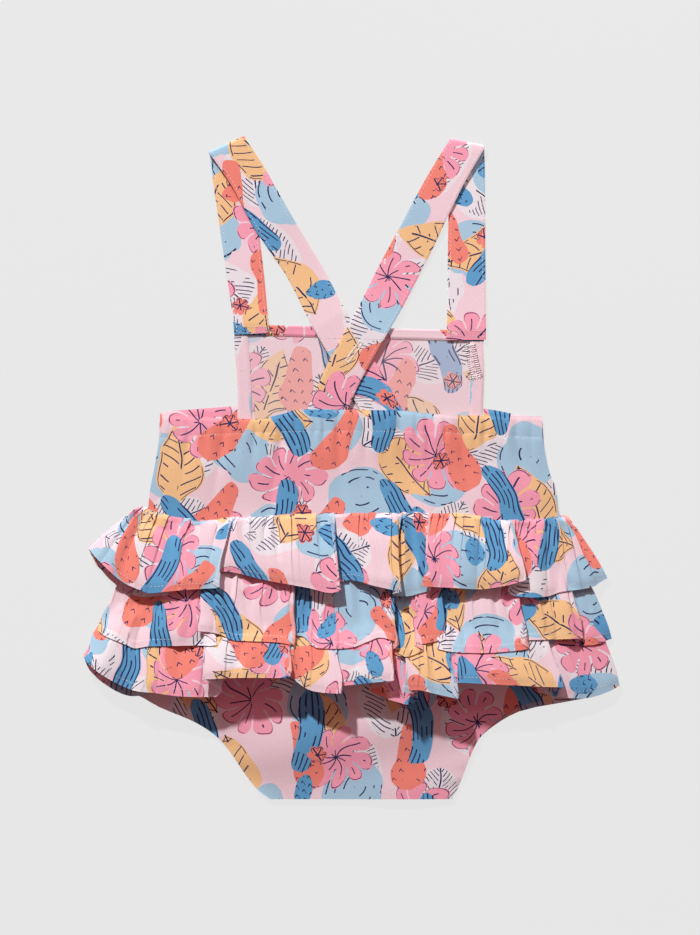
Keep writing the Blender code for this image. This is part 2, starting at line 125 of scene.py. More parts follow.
# Gathers of the waist at its stitch line. Each fades over its reach and leans to one side.
Gather = namedtuple("Gather", "x half_width depth reach lean")
WAIST_GATHERS = table(Gather, [
    (-119, 3, 0.5, 20, -1), (-107, 6, 1, 44, -6), (-96, 3.2, 0.6, 18, 0),
    (-84, 6.5, 1.4, 62, -10), (-76, 3, 0.7, 20, 0), (-63, 4.6, 1, 30, -3), (-57, 3, 0.6, 18, 0),
    (-45, 7, 1.7, 72, -12), (-37, 3.2, 0.8, 22, 0), (-30, 3.6, 1, 30, -1), (-18, 3, 0.7, 18, 0),
    (-9, 6, 1.6, 54, 5), (1, 3.2, 0.9, 20, 0), (9, 3.8, 1.1, 30, 2), (23, 3, 0.8, 22, 0),
    (32, 7.5, 1.8, 76, 18), (43, 3.4, 0.9, 24, 2), (50, 4, 1.2, 34, 4), (62, 3, 0.7, 20, 0),
    (71, 6.5, 1.3, 64, 12), (82, 3.4, 0.7, 22, 0), (88, 4.6, 1.1, 36, 4), (101, 3, 0.6, 18, 0),
    (109, 5.5, 1, 40, 6), (119, 3, 0.5, 18, 0),
])

# ---------------------------------------------------------------- ruffles

# A shallow groove along a line from one place to another
Crease = namedtuple("Crease", "x0 y0 x1 y1 depth width")
# Where a fold starts on the seam, where it ends on the hem, and how high the hem stands there
Fold = namedtuple("Fold", "seam_x hem_x hem_y hem_z")
# Where the folds turn back, the cloth doubles over itself in a soft pleat. Flare bows out the
# tier's ends, and lift scales the height of its hem.
Tier = namedtuple("Tier", "seam folds creases seed flare lift")

TIERS = {
    1: Tier(
        seam=[(-140, -25.5), (-122, -31.5), (-100, -34.5), (-70, -32), (0, -29.5), (70, -29.5),
              (100, -34.5), (125, -33.5), (142, -31)],
        folds=table(Fold, [
            (-118, -122, -84, 3), (-126, -137, -85.4, 2.6), (-134, -152, -79.6, 2.2),
            (-138, -167, -66, 2), (-140, -173.3, -52.8, 3.5), (-139, -168, -59.6, 9),
            (-133, -150.5, -75.6, 13), (-127, -138.6, -80.9, 15), (-120, -133, -82.7, 16),
            (-110, -121, -81.6, 17.5), (-98, -106, -80.2, 18), (-88, -95, -79.4, 19.5),
            (-79.5, -88.4, -79, 21.5), (-79.5, -92.5, -74.5, 17.5), (-79, -89.5, -69.8, 14.5),
            (-77, -82.5, -68.3, 14.5), (-60, -57.4, -73.9, 17), (-34, -29, -78.9, 19.5),
            (-20, -14.5, -82.3, 22), (-13, -7, -80.4, 22), (-12, -10.5, -78.2, 18.5),
            (-10, -6.5, -75.6, 16.5), (-2, 0, -73.9, 16.5), (10, 14.2, -77.6, 20),
            (24, 27, -80.5, 22.5), (31, 33, -81.5, 23.5), (31.5, 28, -83.2, 19.5),
            (33, 28.5, -84.5, 16.5), (37, 37, -84.7, 16), (44, 45, -82.8, 16.5),
            (50, 52.5, -80.4, 17), (51.5, 51.5, -78.6, 19.5), (51.5, 46.9, -77.6, 22.5),
            (56, 52, -78.2, 23), (66, 64, -78.9, 21.5), (85, 85.1, -80, 20),
            (96, 98, -78.4, 20.5), (103, 108, -76, 21), (107, 115.5, -73.6, 21),
            (106.5, 110.5, -76, 18), (106, 104.5, -79.5, 16), (107, 104, -82.6, 15),
            (112, 110, -84.8, 15), (119, 119, -85.5, 14.5), (126, 129, -84.8, 12.5),
            (133, 139.9, -81.8, 10), (138, 155.8, -79.5, 7), (142, 168.9, -72.9, 4.5),
        ]),
        creases=table(Crease, [
            (-134, -36, -98, -52, 1.6, 3), (-122, -36, -116, -62, 1.1, 2.5),
            (-104, -37, -112, -60, 0.9, 2.5), (-50, -33, -48, -58, 1.4, 2.2),
            (-43, -33, -42, -66, 1.3, 2.2), (-20, -32, -21, -64, 1.2, 2.4),
            (12, -31, 9, -56, 1.2, 2.2), (24, -32, 22, -68, 1.3, 2.2),
            (62, -32, 66, -62, 1.2, 2.4), (88, -36, 92, -60, 1.2, 2.4),
            (112, -36, 124, -66, 1.5, 2.6), (128, -36, 140, -58, 1.1, 2.4),
        ]),
        seed=11,
        flare=3.0,
        lift=0.84,
    ),
    2: Tier(
        seam=[(-146, -62), (-120, -66), (120, -66), (148, -62)],
        folds=table(Fold, [
            (-146, -167, -107.3, 4), (-143, -163.7, -110.6, 4), (-135, -148.8, -117.2, 7),
            (-128, -141.6, -119.4, 10.5), (-121, -133, -118, 13), (-106, -114.4, -117.6, 15),
            (-98, -104, -117.4, 15.5), (-92, -92.5, -117.4, 14.5), (-91, -88.5, -116.4, 14.5),
            (-93, -93.5, -112, 16), (-97, -101, -107.6, 18.5), (-92, -94.5, -108.2, 19),
            (-84, -86.5, -109.8, 18.5), (-75, -76.6, -113.8, 17), (-56, -57.4, -114.7, 16.5),
            (-45, -46.5, -115.4, 17.5), (-38, -37.2, -117, 18.5), (-38, -42, -113, 15),
            (-37, -40, -110.6, 13), (-33, -35.5, -110.8, 12.5), (-21, -21.8, -119, 15),
            (-10, -10, -119.4, 16.5), (-2, -0.7, -118.4, 16.5), (8, 10, -114.5, 15.5),
            (16, 17.8, -111.9, 16.5), (22, 24.5, -113.5, 19.5), (25, 30, -116.5, 20.5),
            (26, 26.5, -121, 16.5), (29, 28.5, -123.7, 13.5), (34, 34, -124.6, 13),
            (39, 41.5, -122.4, 13.5), (42.5, 45.5, -120.5, 15), (42.5, 41.6, -117.4, 18.5),
            (50, 50, -115.6, 19), (59, 60, -113.3, 18.5), (59, 55.5, -115.8, 16),
            (59, 55, -119, 13.5), (62, 60, -120.4, 14), (70, 71.3, -121.9, 15.5),
            (84, 85.1, -122.2, 16.5), (96, 101, -121.4, 17), (105.5, 116, -119, 18),
            (106, 111.5, -115.6, 15), (107, 112.5, -113.8, 13), (112, 119, -113.7, 12.5),
            (124, 131, -113.5, 12.5), (134, 146, -113, 11.5), (137, 152.5, -112.6, 10.5),
            (137.5, 148, -115.4, 8), (138.5, 147, -117.6, 7), (142, 157.7, -117.4, 6),
            (148, 171.8, -113.3, 4),
        ]),
        creases=table(Crease, [
            (-126, -84, -131, -112, 1.2, 3), (-70, -84, -66, -108, 1.3, 2.4),
            (-20, -86, -14, -112, 1.3, 2.4), (70, -88, 76, -116, 1.3, 2.4),
            (94, -86, 104, -116, 1.2, 2.4), (126, -84, 136, -108, 1.2, 2.6),
        ]),
        seed=23,
        flare=1.5,
        lift=0.9,
    ),
    3: Tier(
        seam=[(-157, -92), (-125, -96), (125, -96), (156, -92)],
        folds=table(Fold, [
            (-128, -128, -148, 3), (-138, -143.2, -150.8, 2.6), (-150, -160, -143, 2.2),
            (-155, -173, -132.4, 1.8), (-157, -177, -123.6, 3.2), (-154, -173.6, -127.6, 7),
            (-148, -162, -136.5, 10), (-140, -150, -143.5, 9), (-132, -139.9, -147, 11),
            (-124, -130.7, -147.8, 12.5), (-107, -112.2, -150.2, 14), (-95, -98, -150.6, 14.5),
            (-88.5, -88.7, -150.5, 14), (-88, -85, -147.5, 14), (-90, -90, -142.5, 15.5),
            (-94, -97.8, -138.9, 18.5), (-88, -90, -138.3, 19), (-64, -66.7, -137.6, 17.5),
            (-48, -50, -137.8, 18), (-40, -40, -136.6, 19.5), (-39.5, -42, -133.6, 18),
            (-38, -38.5, -137, 16), (-33, -33.5, -142, 16), (-28, -27.5, -146, 17),
            (-20, -17.5, -147.6, 18.5), (-12, -6.5, -148, 20), (-12, -9.5, -145, 18),
            (-9.5, -7, -143.2, 17), (-1, 1, -142.4, 17), (12, 13, -140.9, 18),
            (25, 26.5, -139.5, 19.5), (25.5, 20, -143.5, 15.5), (26, 13.5, -146, 13),
            (27, 19, -149.6, 12.5), (30, 28, -153.4, 13.5), (34, 35.5, -155.6, 15),
            (37, 42, -151.5, 15.5), (37, 40.5, -148.6, 17), (36.5, 34, -146.9, 20),
            (42, 43, -145.7, 19.5), (53, 58, -149, 18.5), (62, 68.3, -151.5, 19.5),
            (63, 64.5, -146, 17.5), (64, 64.5, -142, 16.5), (68, 70, -141, 16.5),
            (82, 88, -141.8, 16.5), (98, 108, -142.9, 15.5), (114, 128, -144, 13.5),
            (121, 139.5, -144.6, 12), (121, 134.5, -147.4, 9), (122, 133.5, -150.2, 7.5),
            (127, 140.5, -151.4, 7.5), (133, 149.2, -152.1, 6.5), (144, 169.6, -147.1, 4.5),
            (156, 176.9, -143.6, 3.5),
        ]),
        creases=table(Crease, [
            (-138, -118, -142, -140, 1.2, 3), (-112, -118, -114, -144, 1.2, 2.6),
            (-72, -118, -76, -132, 1.2, 2.2), (4, -120, 6, -138, 1.3, 2.4),
            (84, -120, 92, -138, 1.2, 2.4), (112, -120, 120, -138, 1.2, 2.4),
        ]),
        seed=37,
        flare=1.5,
        lift=1.3,
    ),
}

# ---------------------------------------------------------------- straps

# Both edges of a strap at one place, and its lowest height there
Section = namedtuple("Section", "left_x left_y right_x right_y low")
# Each strap runs up from the bib to its shoulder fold, and from there down to the waist
STRAP_RUNS = {
    "left": (table(Section, [
        (-77, 87.6, -53.8, 88.8, 0.2), (-78.6, 103, -55.2, 103, 0.2),
        (-82.2, 128, -57.4, 127, 0.2), (-86.5, 158, -60.5, 155, 0.2),
        (-90.4, 184, -64.6, 187, 0.2), (-93.2, 206.5, -69.6, 217, 0.2),
    ]), table(Section, [
        (-90.5, 203.2, -67.9, 214.2, 3.3), (-79.9, 187.8, -59, 201, 2.3),
        (-62.2, 155, -40.6, 168.5, 2), (-53, 141.5, -32, 154, 0.4),
        (-43.6, 128, -22, 137.8, 0.2), (-29, 99.6, -7.6, 111, 0.2),
        (-13.2, 71.6, 7.6, 84.5, 0.2), (1.5, 45.5, 25.5, 53, 0.8), (5.5, 38.5, 33.5, 38.5, 2.2),
        (12, 26, 40, 26, 2.2),
    ])),
    "right": (table(Section, [
        (62.7, 84.2, 89.1, 84.2, 0.2), (63.4, 102, 88.9, 102, 0.2), (63.8, 130, 88.8, 130, 0.2),
        (64.2, 160, 88.6, 160, 0.2), (64.5, 188, 88.4, 186, 0.2), (64.7, 215, 88, 210.5, 0.2),
    ]), table(Section, [
        (62.6, 212.4, 86.2, 207.4, 3.3), (50.8, 193, 75.5, 189, 2.3),
        (40.5, 174.5, 63.5, 165, 2), (29.7, 154, 52.6, 141.5, 0.4), (17.5, 131.5, 41, 119, 0.2),
        (7.5, 111, 31.5, 101, 0.2), (-6, 86, 19, 80, 0.2), (-13.2, 72.9, 10.5, 65, 0.2),
        (-22, 54, 3.5, 51.5, 0.8), (-29, 38.5, -2.2, 38.5, 2.2), (-35, 26, -8.8, 26, 2.2),
    ])),
}

# ---------------------------------------------------------------- colours and settings

def linear(colour):
    """An sRGB hex colour as linear red, green and blue."""
    parts = [int(colour[place:place + 2], 16) / 255 for place in (1, 3, 5)]
    return [c / 12.92 if c <= 0.04045 else ((c + 0.055) / 1.055) ** 2.4 for c in parts]


def colour_setting(name, description, colour):
    return bpy.props.FloatVectorProperty(
        name=name, description=description, subtype="COLOR", size=3,
        min=0.0, max=1.0, default=linear(colour),
    )


def number_setting(name, description, default, low=0.0, **kind):
    return bpy.props.FloatProperty(
        name=name, description=description, default=default, min=low, **kind)


def length_setting(name, description, millimetres, low=0.0):
    return number_setting(name, description, millimetres * MM, low * MM,
                          subtype="DISTANCE", unit="LENGTH")


class SunsuitSizes(bpy.types.PropertyGroup):
    """Cloth and thread sizes of the sunsuit."""

    cloth: length_setting("Cloth", "Thickness of the panels' poplin", 0.5)
    ruffle_cloth: length_setting("Ruffle cloth", "Thickness of the ruffles' poplin", 0.5)
    hem_extra: length_setting("Hem fold", "What the turned hem adds to the cloth", 0.35)
    strap: length_setting("Strap", "Thickness of the doubled, pressed strap", 1.1)
    casing: length_setting("Casing", "Thickness of the waist casing over its elastic", 2.0)
    stitch: length_setting("Stitch", "Length of one topstitch", 1.7)
    pitch: length_setting("Stitch pitch", "Distance from one topstitch to the next", 2.5)
    thread: length_setting("Thread", "Width of the sewing thread on the cloth", 0.3)
    edge_inset: length_setting("Strap stitch inset", "Topstitch line from a strap's edge", 1.9)
    gathers: number_setting("Gathers", "Strength of the gathers and soft waves", 1.0,
                            max=2.0, subtype="FACTOR")
    print_scale: number_setting("Print scale", "Size of the print's motifs", 1.0,
                                low=0.3, max=3.0)


class SunsuitColours(bpy.types.PropertyGroup):
    """Dyes of the print, and the thread."""

    ground: colour_setting("Ground", "Pale pink ground of the print", "#F0D4DB")
    off_white: colour_setting("Off-white", "Feathery leaves", "#EAE4E7")
    light_blue: colour_setting("Light blue", "Pebbles", "#ABCDE0")
    hot_pink: colour_setting("Hot pink", "Large petals", "#F5A4B8")
    apricot: colour_setting("Apricot", "Pointed leaves", "#F3C791")
    coral: colour_setting("Coral", "Beans and small flowers", "#F18A7A")
    blue: colour_setting("Blue", "Striped and ticked leaves", "#62A3CE")
    # The ink also colours the beads of painted shade in the bib buttonhole's slit
    ink: colour_setting("Ink", "Drawn lines", "#2A2E5E")
    thread: colour_setting("Thread", "White sewing thread", "#F4F1EC")


class SunsuitStage(bpy.types.PropertyGroup):
    """Floor, lamps and camera."""

    floor: colour_setting("Floor", "Pale studio floor", "#E9E9E9")
    key_colour: colour_setting("Key colour", "Colour of both lamps", "#F9FDFF")
    key: number_setting("Key", "Power of the key lamp", 860.0, unit="POWER")
    soft: number_setting("Soft lamp", "Power of the soft lamp over the shoulders", 0.6,
                         unit="POWER")
    fill_colour: colour_setting("Fill colour", "Warm light from all round", "#FFC0C2")
    fill: number_setting("Fill", "Strength of the light from all round", 0.235)
    camera_height: length_setting("Camera height", "Height of the camera over the floor",
                                  3000.0, low=500.0)
    view_height: length_setting("View height", "Floor that the picture's height covers",
                                617.1, low=100.0)


# ---------------------------------------------------------------- shaping cloth

# A sheet's object, its face and normals as grids in millimetres, and a tree to cast rays at
Sheet = namedtuple("Sheet", "piece face normals tree")
SHEETS = {}

# No cloth comes lower than this, and what lies on nothing is kept a little higher
LOWEST = 0.05
FLOOR_CLEARANCE = 0.2
# Clearances over the sheets below. Those of the back and the ruffles come on top of their
# cloth, and the back has its own inside the casing.
BIB_HEM_EASE, STRAP_EASE, INSIDE_EASE, BACK_EASE, RUFFLE_EASE = 0.4, 0.3, 0.25, 0.3, 0.5
# Rays that look for the cloth below start well above the garment
RAY_START = 0.2
# The cloth shades smooth up to this angle, so only the edges of its thickness stay sharp
SHARP_ANGLE = math.radians(50)


def smooth_values(places, values, wanted):
    """Read a table on a smooth curve through its rows, which never overshoots them."""
    places, values = np.asarray(places, float), np.asarray(values, float)
    wanted = np.clip(wanted, places[0], places[-1])
    columns = (-1,) + (1,) * (values.ndim - 1)
    gaps = np.diff(places)
    slopes = np.diff(values, axis=0) / gaps.reshape(columns)
    before, after = slopes[:-1], slopes[1:]
    same = before * after > 0
    mean = np.where(same, 2 * before * after / np.where(same, before + after, 1.0), 0.0)
    tangents = np.concatenate([slopes[:1], mean, slopes[-1:]])
    row = np.clip(np.searchsorted(places, wanted, side="right") - 1, 0, len(places) - 2)
    gap = gaps[row].reshape(np.shape(row) + (1,) * (values.ndim - 1))
    t = (wanted - places[row]).reshape(gap.shape) / gap
    return (
        (2 * t ** 3 - 3 * t ** 2 + 1) * values[row]
        + (t ** 3 - 2 * t ** 2 + t) * gap * tangents[row]
        + (3 * t ** 2 - 2 * t ** 3) * values[row + 1]
        + (t ** 3 - t ** 2) * gap * tangents[row + 1]
    )


def read_table(rows, wanted):
    """Read the first column of a table to the others, whichever way its rows run."""
    rows = sorted(rows, key=lambda row: row[0])
    values = np.array([row[1:] for row in rows], float)
    found = smooth_values([row[0] for row in rows], values, np.asarray(wanted, float))
    return np.moveaxis(found, -1, 0)


def eased(share):
    """A share from 0 to 1 that starts and ends softly."""
    share = np.clip(share, 0.0, 1.0)
    return share * share * (3 - 2 * share)


# An uneven wave in the cloth: its height to both sides, its spacing and its random seed
Wave = namedtuple("Wave", "height spacing seed")


def wander(places, wave):
    """Smooth random values that change over about the spacing of a wave."""
    low, high = float(np.min(places)), float(np.max(places))
    knots = np.arange(low - wave.spacing, high + 2 * wave.spacing, wave.spacing)
    values = np.random.default_rng(wave.seed).uniform(-1, 1, len(knots))
    return wave.height * smooth_values(knots, values, places)


def undulation(x, y, wave):
    """Broad soft swells of laid cloth, from four crossed waves with random phases."""
    chance = np.random.default_rng(wave.seed)
    total = np.zeros_like(x)
    for _ in range(4):
        angle, phase = chance.uniform(0, math.tau, 2)
        length = wave.spacing * chance.uniform(0.7, 1.5)
        total += np.sin((x * math.cos(angle) + y * math.sin(angle)) * math.tau / length + phase)
    return wave.height * total / 4


def summed(steps):
    """Running total of steps, from 0."""
    return np.concatenate([[0.0], np.cumsum(steps)])


def running_length(line):
    """Length along a line of places, from 0 at its start."""
    return summed(np.linalg.norm(np.diff(line, axis=0), axis=1))


def grid_of(*coordinates):
    """A grid of points from coordinates that may each be a grid, a row or a column."""
    return np.stack(np.broadcast_arrays(*coordinates), axis=2)


def grid_normals(points):
    """Unit normals of a grid whose rows run down the cloth and columns from left to right."""
    normals = np.cross(np.gradient(points, axis=0), np.gradient(points, axis=1))
    return normals / np.maximum(np.linalg.norm(normals, axis=2, keepdims=True), 1e-9)


def grid_lengths(points, axis):
    """Cloth length along an axis of the grid, the same for every line."""
    return summed(np.linalg.norm(np.diff(points, axis=axis), axis=2).mean(axis=1 - axis))


def blurred(grid, times):
    """A grid of values in which each is evened out with its four neighbours, many times."""
    for _ in range(times):
        padded = np.pad(grid, 1, mode="edge")
        grid = (padded[:-2, 1:-1] + padded[2:, 1:-1] + padded[1:-1, :-2]
                + padded[1:-1, 2:] + 2 * grid) / 6
    return grid


def height_under(x, y, trees):
    """Height in millimetres of the highest sheet under each point, or 0 where there is none."""
    heights = np.zeros(x.shape)
    down = Vector((0.0, 0.0, -1.0))
    for place in np.ndindex(x.shape):
        start = Vector((x[place] * MM, y[place] * MM, RAY_START))
        for tree in trees:
            hit = tree.ray_cast(start, down)[0]
            if hit is not None:
                heights[place] = max(heights[place], hit.z / MM)
    return heights


def laid_over(points, trees, clearance, soften=5):
    """Lift a grid of points clear of the sheets under it, with a lift that fades softly."""
    under = height_under(points[..., 0], points[..., 1], trees)
    floor = np.where(under > 0, under + clearance, FLOOR_CLEARANCE)
    lift = np.maximum(floor - points[..., 2], 0.0)
    for _ in range(soften):
        lift = np.maximum(lift, blurred(lift, 2))
    laid = points.copy()
    laid[..., 2] += lift
    return laid


def press_creases(points, creases):
    """Sink shallow grooves into a grid of points, deepest where their lines start."""
    for crease in creases:
        start = np.array([crease.x0, crease.y0])
        run = np.array([crease.x1, crease.y1]) - start
        offset = points[..., :2] - start
        along = (offset @ run) / (run @ run)
        near = offset - np.clip(along, 0, 1)[..., None] * run
        away = np.linalg.norm(near, axis=-1) / crease.width
        fade = 1 - 0.6 * eased(along)
        points[..., 2] -= crease.depth * fade * np.exp(-away ** 1.4)
    return points


def onto_node(points, *nodes):
    """Stretch a grid along X and Y so that it fills the box of the CAD nodes it stands for."""
    lows, highs = zip(*(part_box(node) for node in nodes))
    for axis in (0, 1):
        low = min(corner[axis] for corner in lows) / MM
        high = max(corner[axis] for corner in highs) / MM
        values = points[..., axis]
        share = (values - values.min()) / (values.max() - values.min())
        points[..., axis] = low + (high - low) * share
    return points


def new_object(name, data):
    """A new object, linked to the scene."""
    piece = bpy.data.objects.new(name, data)
    bpy.context.scene.collection.objects.link(piece)
    return piece


def shell_faces(rows, columns):
    """Faces of a sheet's right side, its wrong side and the rim between them."""
    count = rows * columns
    index = np.arange(count).reshape(rows, columns)
    corners = index[:-1, :-1], index[1:, :-1], index[1:, 1:], index[:-1, 1:]
    right_side = np.stack([corner.ravel() for corner in corners], axis=1)
    ring = np.concatenate([index[:, 0], index[-1, 1:], index[-2::-1, -1], index[0, -2:0:-1]])
    ahead = np.roll(ring, -1)
    rim = np.stack([ring, ring + count, ahead + count, ahead], axis=1)
    return right_side, right_side[:, ::-1] + count, rim


def lay_out(mesh, cloth):
    """Give both sides of a sheet's mesh their places on the flat cloth as a UV map."""
    used = np.empty(len(mesh.loops), np.int32)
    mesh.loops.foreach_get("vertex_index", used)
    flat = np.concatenate([cloth.reshape(-1, 2)] * 2)[used] * MM
    layer = mesh.uv_layers.new(name="cloth")
    layer.data.foreach_set("uv", flat.astype(np.float32).ravel())


def sew_sheet(name, points, thickness, cloth, finishes, face_share=0.0):
    """Sew one sheet from a grid of points in millimetres and its places on the flat cloth.

    The finishes are those of its right and its wrong side. The right side lies face_share
    of the thickness off the points, and the wrong side takes up the rest on their other side.
    """
    normals = grid_normals(points)
    depth = np.broadcast_to(thickness, points.shape[:2])[..., None]
    face = points + normals * depth * face_share
    lining = points - normals * depth * (1 - face_share)
    for side in (face, lining):
        side[..., 2] = np.maximum(side[..., 2], LOWEST)
    vertices = (np.concatenate([face.reshape(-1, 3), lining.reshape(-1, 3)]) * MM).tolist()
    right_side, wrong_side, rim = shell_faces(*points.shape[:2])
    faces = np.concatenate([right_side, wrong_side, rim]).tolist()
    mesh = bpy.data.meshes.new(name)
    mesh.from_pydata(vertices, [], faces)
    for finish in finishes:
        mesh.materials.append(finish_of(finish))
    sides = np.zeros(len(faces), np.int32)
    sides[len(right_side):-len(rim)] = 1
    mesh.polygons.foreach_set("material_index", sides)
    mesh.shade_smooth()
    mesh.set_sharp_from_angle(angle=SHARP_ANGLE)
    lay_out(mesh, cloth)
    mesh.update()
    tree = BVHTree.FromPolygons(vertices, faces)
    SHEETS[name] = Sheet(new_object(name, mesh), face, normals, tree)
    return SHEETS[name]


def dress(sheet, nodes):
    piece = sheet.piece
    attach(piece, BODY)
    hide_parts(*nodes)


def trees_of(*names):
    """The trees of named sheets, to cast rays at."""
    return [SHEETS[name].tree for name in names]


# ---------------------------------------------------------------- materials

MATH = "ShaderNodeMath"
TIMES, TIMES_PLUS, MINUS, OVER, UNDER, NEAR, FOLD = (
    (MATH, operation) for operation in (
        "MULTIPLY", "MULTIPLY_ADD", "SUBTRACT", "GREATER_THAN", "LESS_THAN", "COMPARE",
        "PINGPONG"))
VECTOR_MATH = "ShaderNodeVectorMath"
MIX = "ShaderNodeMix"
MAPPING = "ShaderNodeMapping"
MAP_RANGE = "ShaderNodeMapRange"
NOISE = "ShaderNodeTexNoise"
UNTURNED = (0.0, 0.0, 0.0)


def opaque(colour):
    """A colour with full alpha, as sockets and materials want it."""
    return (*colour, 1.0)


def feed(tree, socket, source):
    """Feed a socket from a node's shown output, from another socket or with a plain value."""
    if isinstance(source, bpy.types.Node):
        source = next(output for output in source.outputs if output.enabled)
    if isinstance(source, bpy.types.NodeSocket):
        tree.links.new(source, socket)
    else:
        socket.default_value = source


def add_node(tree, kind, *sources, named=None, **settings):
    """Add a node with its settings, and feed its shown inputs in order and others by name.

    A kind may be a pair of the node's kind and its operation.
    """
    if isinstance(kind, tuple):
        kind, settings["operation"] = kind
    node = tree.nodes.new(kind)
    for name, value in settings.items():
        setattr(node, name, value)
    shown = [socket for socket in node.inputs if socket.enabled]
    wanted = list(zip(shown, sources))
    wanted += [(node.inputs[name], source) for name, source in (named or {}).items()]
    for socket, source in wanted:
        feed(tree, socket, source)
    return node


def new_material(name, **values):
    """A material, its node tree and its shader, with the values of the shader's inputs."""
    material = bpy.data.materials.new(name)
    material.use_nodes = True
    shader = material.node_tree.nodes["Principled BSDF"]
    for socket, value in values.items():
        shader.inputs[socket.replace("_", " ")].default_value = value
    return material, material.node_tree, shader


# Both kinds of motif start with their dye, the share of places that have one, the distance
# between these places, the lean of the rows, their shift, and how far single motifs turn.
# A leaf is drawn to either side of a line, and its profile is its half width along its length.
# Its veins, stripes and ticks are drawn where their spacing is given.
Leaf = namedtuple(
    "Leaf", "fill share pitch turn shift spread half_width length profile bend "
    "midrib vein_spacing vein_slant stripe_spacing tick_spacing outline",
    defaults=(0.0, False, 0, 0, 0, 0, False),
)
# A round motif has lobes round its edge, slits between them from a share of the radius
# outwards, rays along the lobes and rings round the middle.
Round = namedtuple(
    "Round", "fill share pitch turn shift spread radius stretch lobes depth curl slits rays "
    "rings outline",
    defaults=(0.0, 0.0, False, 0, False),
)

POINTED = [(0.0, 0.0), (0.16, 0.5), (0.38, 0.98), (0.6, 0.88), (0.84, 0.42), (1.0, 0.0)]
BROAD = [(0.0, 0.0), (0.06, 0.45), (0.3, 0.95), (0.6, 1.0), (0.88, 0.6), (1.0, 0.0)]
PEAR = [(0.0, 0.0), (0.05, 0.62), (0.24, 1.0), (0.5, 0.8), (0.72, 0.62), (0.94, 0.48),
        (1.0, 0.0)]
REED = [(0.0, 0.0), (0.04, 0.72), (0.12, 1.0), (0.85, 0.94), (0.96, 0.6), (1.0, 0.0)]

# Half widths of drawn lines, outlines and slits, and how far outlines run inside the edge
LINE_HALF_WIDTH, OUTLINE_HALF_WIDTH, SLIT_HALF_WIDTH = 0.48, 0.3, 0.75
LEAF_OUTLINE, ROUND_OUTLINE = 1.3, 0.9
# Veins cross the half of a leaf round this share of its width, this far to both sides
VEIN_MIDDLE, VEIN_REACH = 0.47, 0.36
# Ticks lean across the leaf, have hooked ends and reach this far to both sides
TICK_LEAN, TICK_HOOK, TICK_REACH = 0.4, 1.3, 1.5


def print_layers(colours):
    """The motifs of the print, from the lowest layer to the highest."""
    return [
        Leaf(colours.off_white, 0.95, 57, 0.35, (3.2, 7.7), 1.2, 17, 52, BROAD,
             midrib=True, vein_spacing=3.8, vein_slant=1.1),
        Round(colours.light_blue, 0.8, 58, -0.3, (11.4, 2.3), 3.0, 22, 1.12, 3, 0.14,
              rings=6.4),
        Leaf(colours.apricot, 0.9, 64, -0.5, (21.7, 9.3), 1.3, 15, 54, POINTED, 0.004,
             midrib=True, vein_spacing=6.8, vein_slant=0.75, outline=True),
        Round(colours.hot_pink, 0.75, 66, 0.62, (5.9, 13.1), 3.0, 27, 1.35, 9, 0.3, 0.016,
              slits=0.45, rays=True, outline=True),
        Leaf(colours.coral, 0.9, 70, 0.15, (8.1, 31.9), 0.9, 10.5, 46, PEAR, 0.003,
             tick_spacing=7.0),
        Leaf(colours.blue, 0.9, 71, -0.12, (41.3, 17.2), 0.6, 7.0, 55, REED, 0.006,
             stripe_spacing=3.3),
        Leaf(colours.blue, 0.7, 79, 0.8, (13.3, 57.1), 3.0, 5.4, 21, BROAD,
             tick_spacing=5.0),
        Round(colours.coral, 0.7, 83, -0.7, (37.7, 4.9), 3.0, 6.5, 1.0, 6, 0.35,
              rays=True, outline=True),
    ]


def lay_motif(add, point, motif):
    """Repeat a motif over the cloth; give its own x, y and vector, and where there is one."""
    rows = add(MAPPING, point, (*motif.shift, 0.0), (0.0, 0.0, motif.turn),
               (1 / motif.pitch, 1 / motif.pitch, 1.0))
    cell = add(VECTOR_MATH, rows, operation="FLOOR")
    chance = add("ShaderNodeTexWhiteNoise", cell, noise_dimensions="2D").outputs
    inside = add(VECTOR_MATH, rows, operation="FRACTION")
    reach = motif.length / 2 if isinstance(motif, Leaf) else motif.radius
    jitter = max(0.0, motif.pitch - 2 * reach - 1)
    centre = -(motif.pitch + jitter) / 2
    middle = add(VECTOR_MATH, inside, (motif.pitch, motif.pitch, 0.0), (centre, centre, 0.0),
                 operation="MULTIPLY_ADD")
    placed = add(VECTOR_MATH, chance["Color"], (jitter, jitter, 0.0), middle,
                 operation="MULTIPLY_ADD")
    angle = add(TIMES_PLUS, chance["Value"], 2 * motif.spread, -motif.spread)
    turned = add("ShaderNodeVectorRotate", placed, UNTURNED, angle, rotation_type="Z_AXIS")
    split = add("ShaderNodeSeparateXYZ", turned).outputs
    present = add(UNDER, chance["Value"], motif.share)
    return split["X"], split["Y"], turned, present


def strokes(add, value, spacing):
    """Thin drawn lines across a value, one in each spacing."""
    fold = add(FOLD, value, spacing / 2)
    return add(UNDER, fold, LINE_HALF_WIDTH)


def filled(add, edge, present):
    """Where a motif is there and the distance to its edge is positive."""
    solid = add(OVER, edge, 0.0)
    return add(TIMES, solid, present)


def inked(add, lines, fill):
    """Where one of the lines is drawn on the fill."""
    joined = lines[0]
    for line in lines[1:]:
        joined = add(MATH, joined, line, operation="MAXIMUM")
    return add(TIMES, joined, fill)


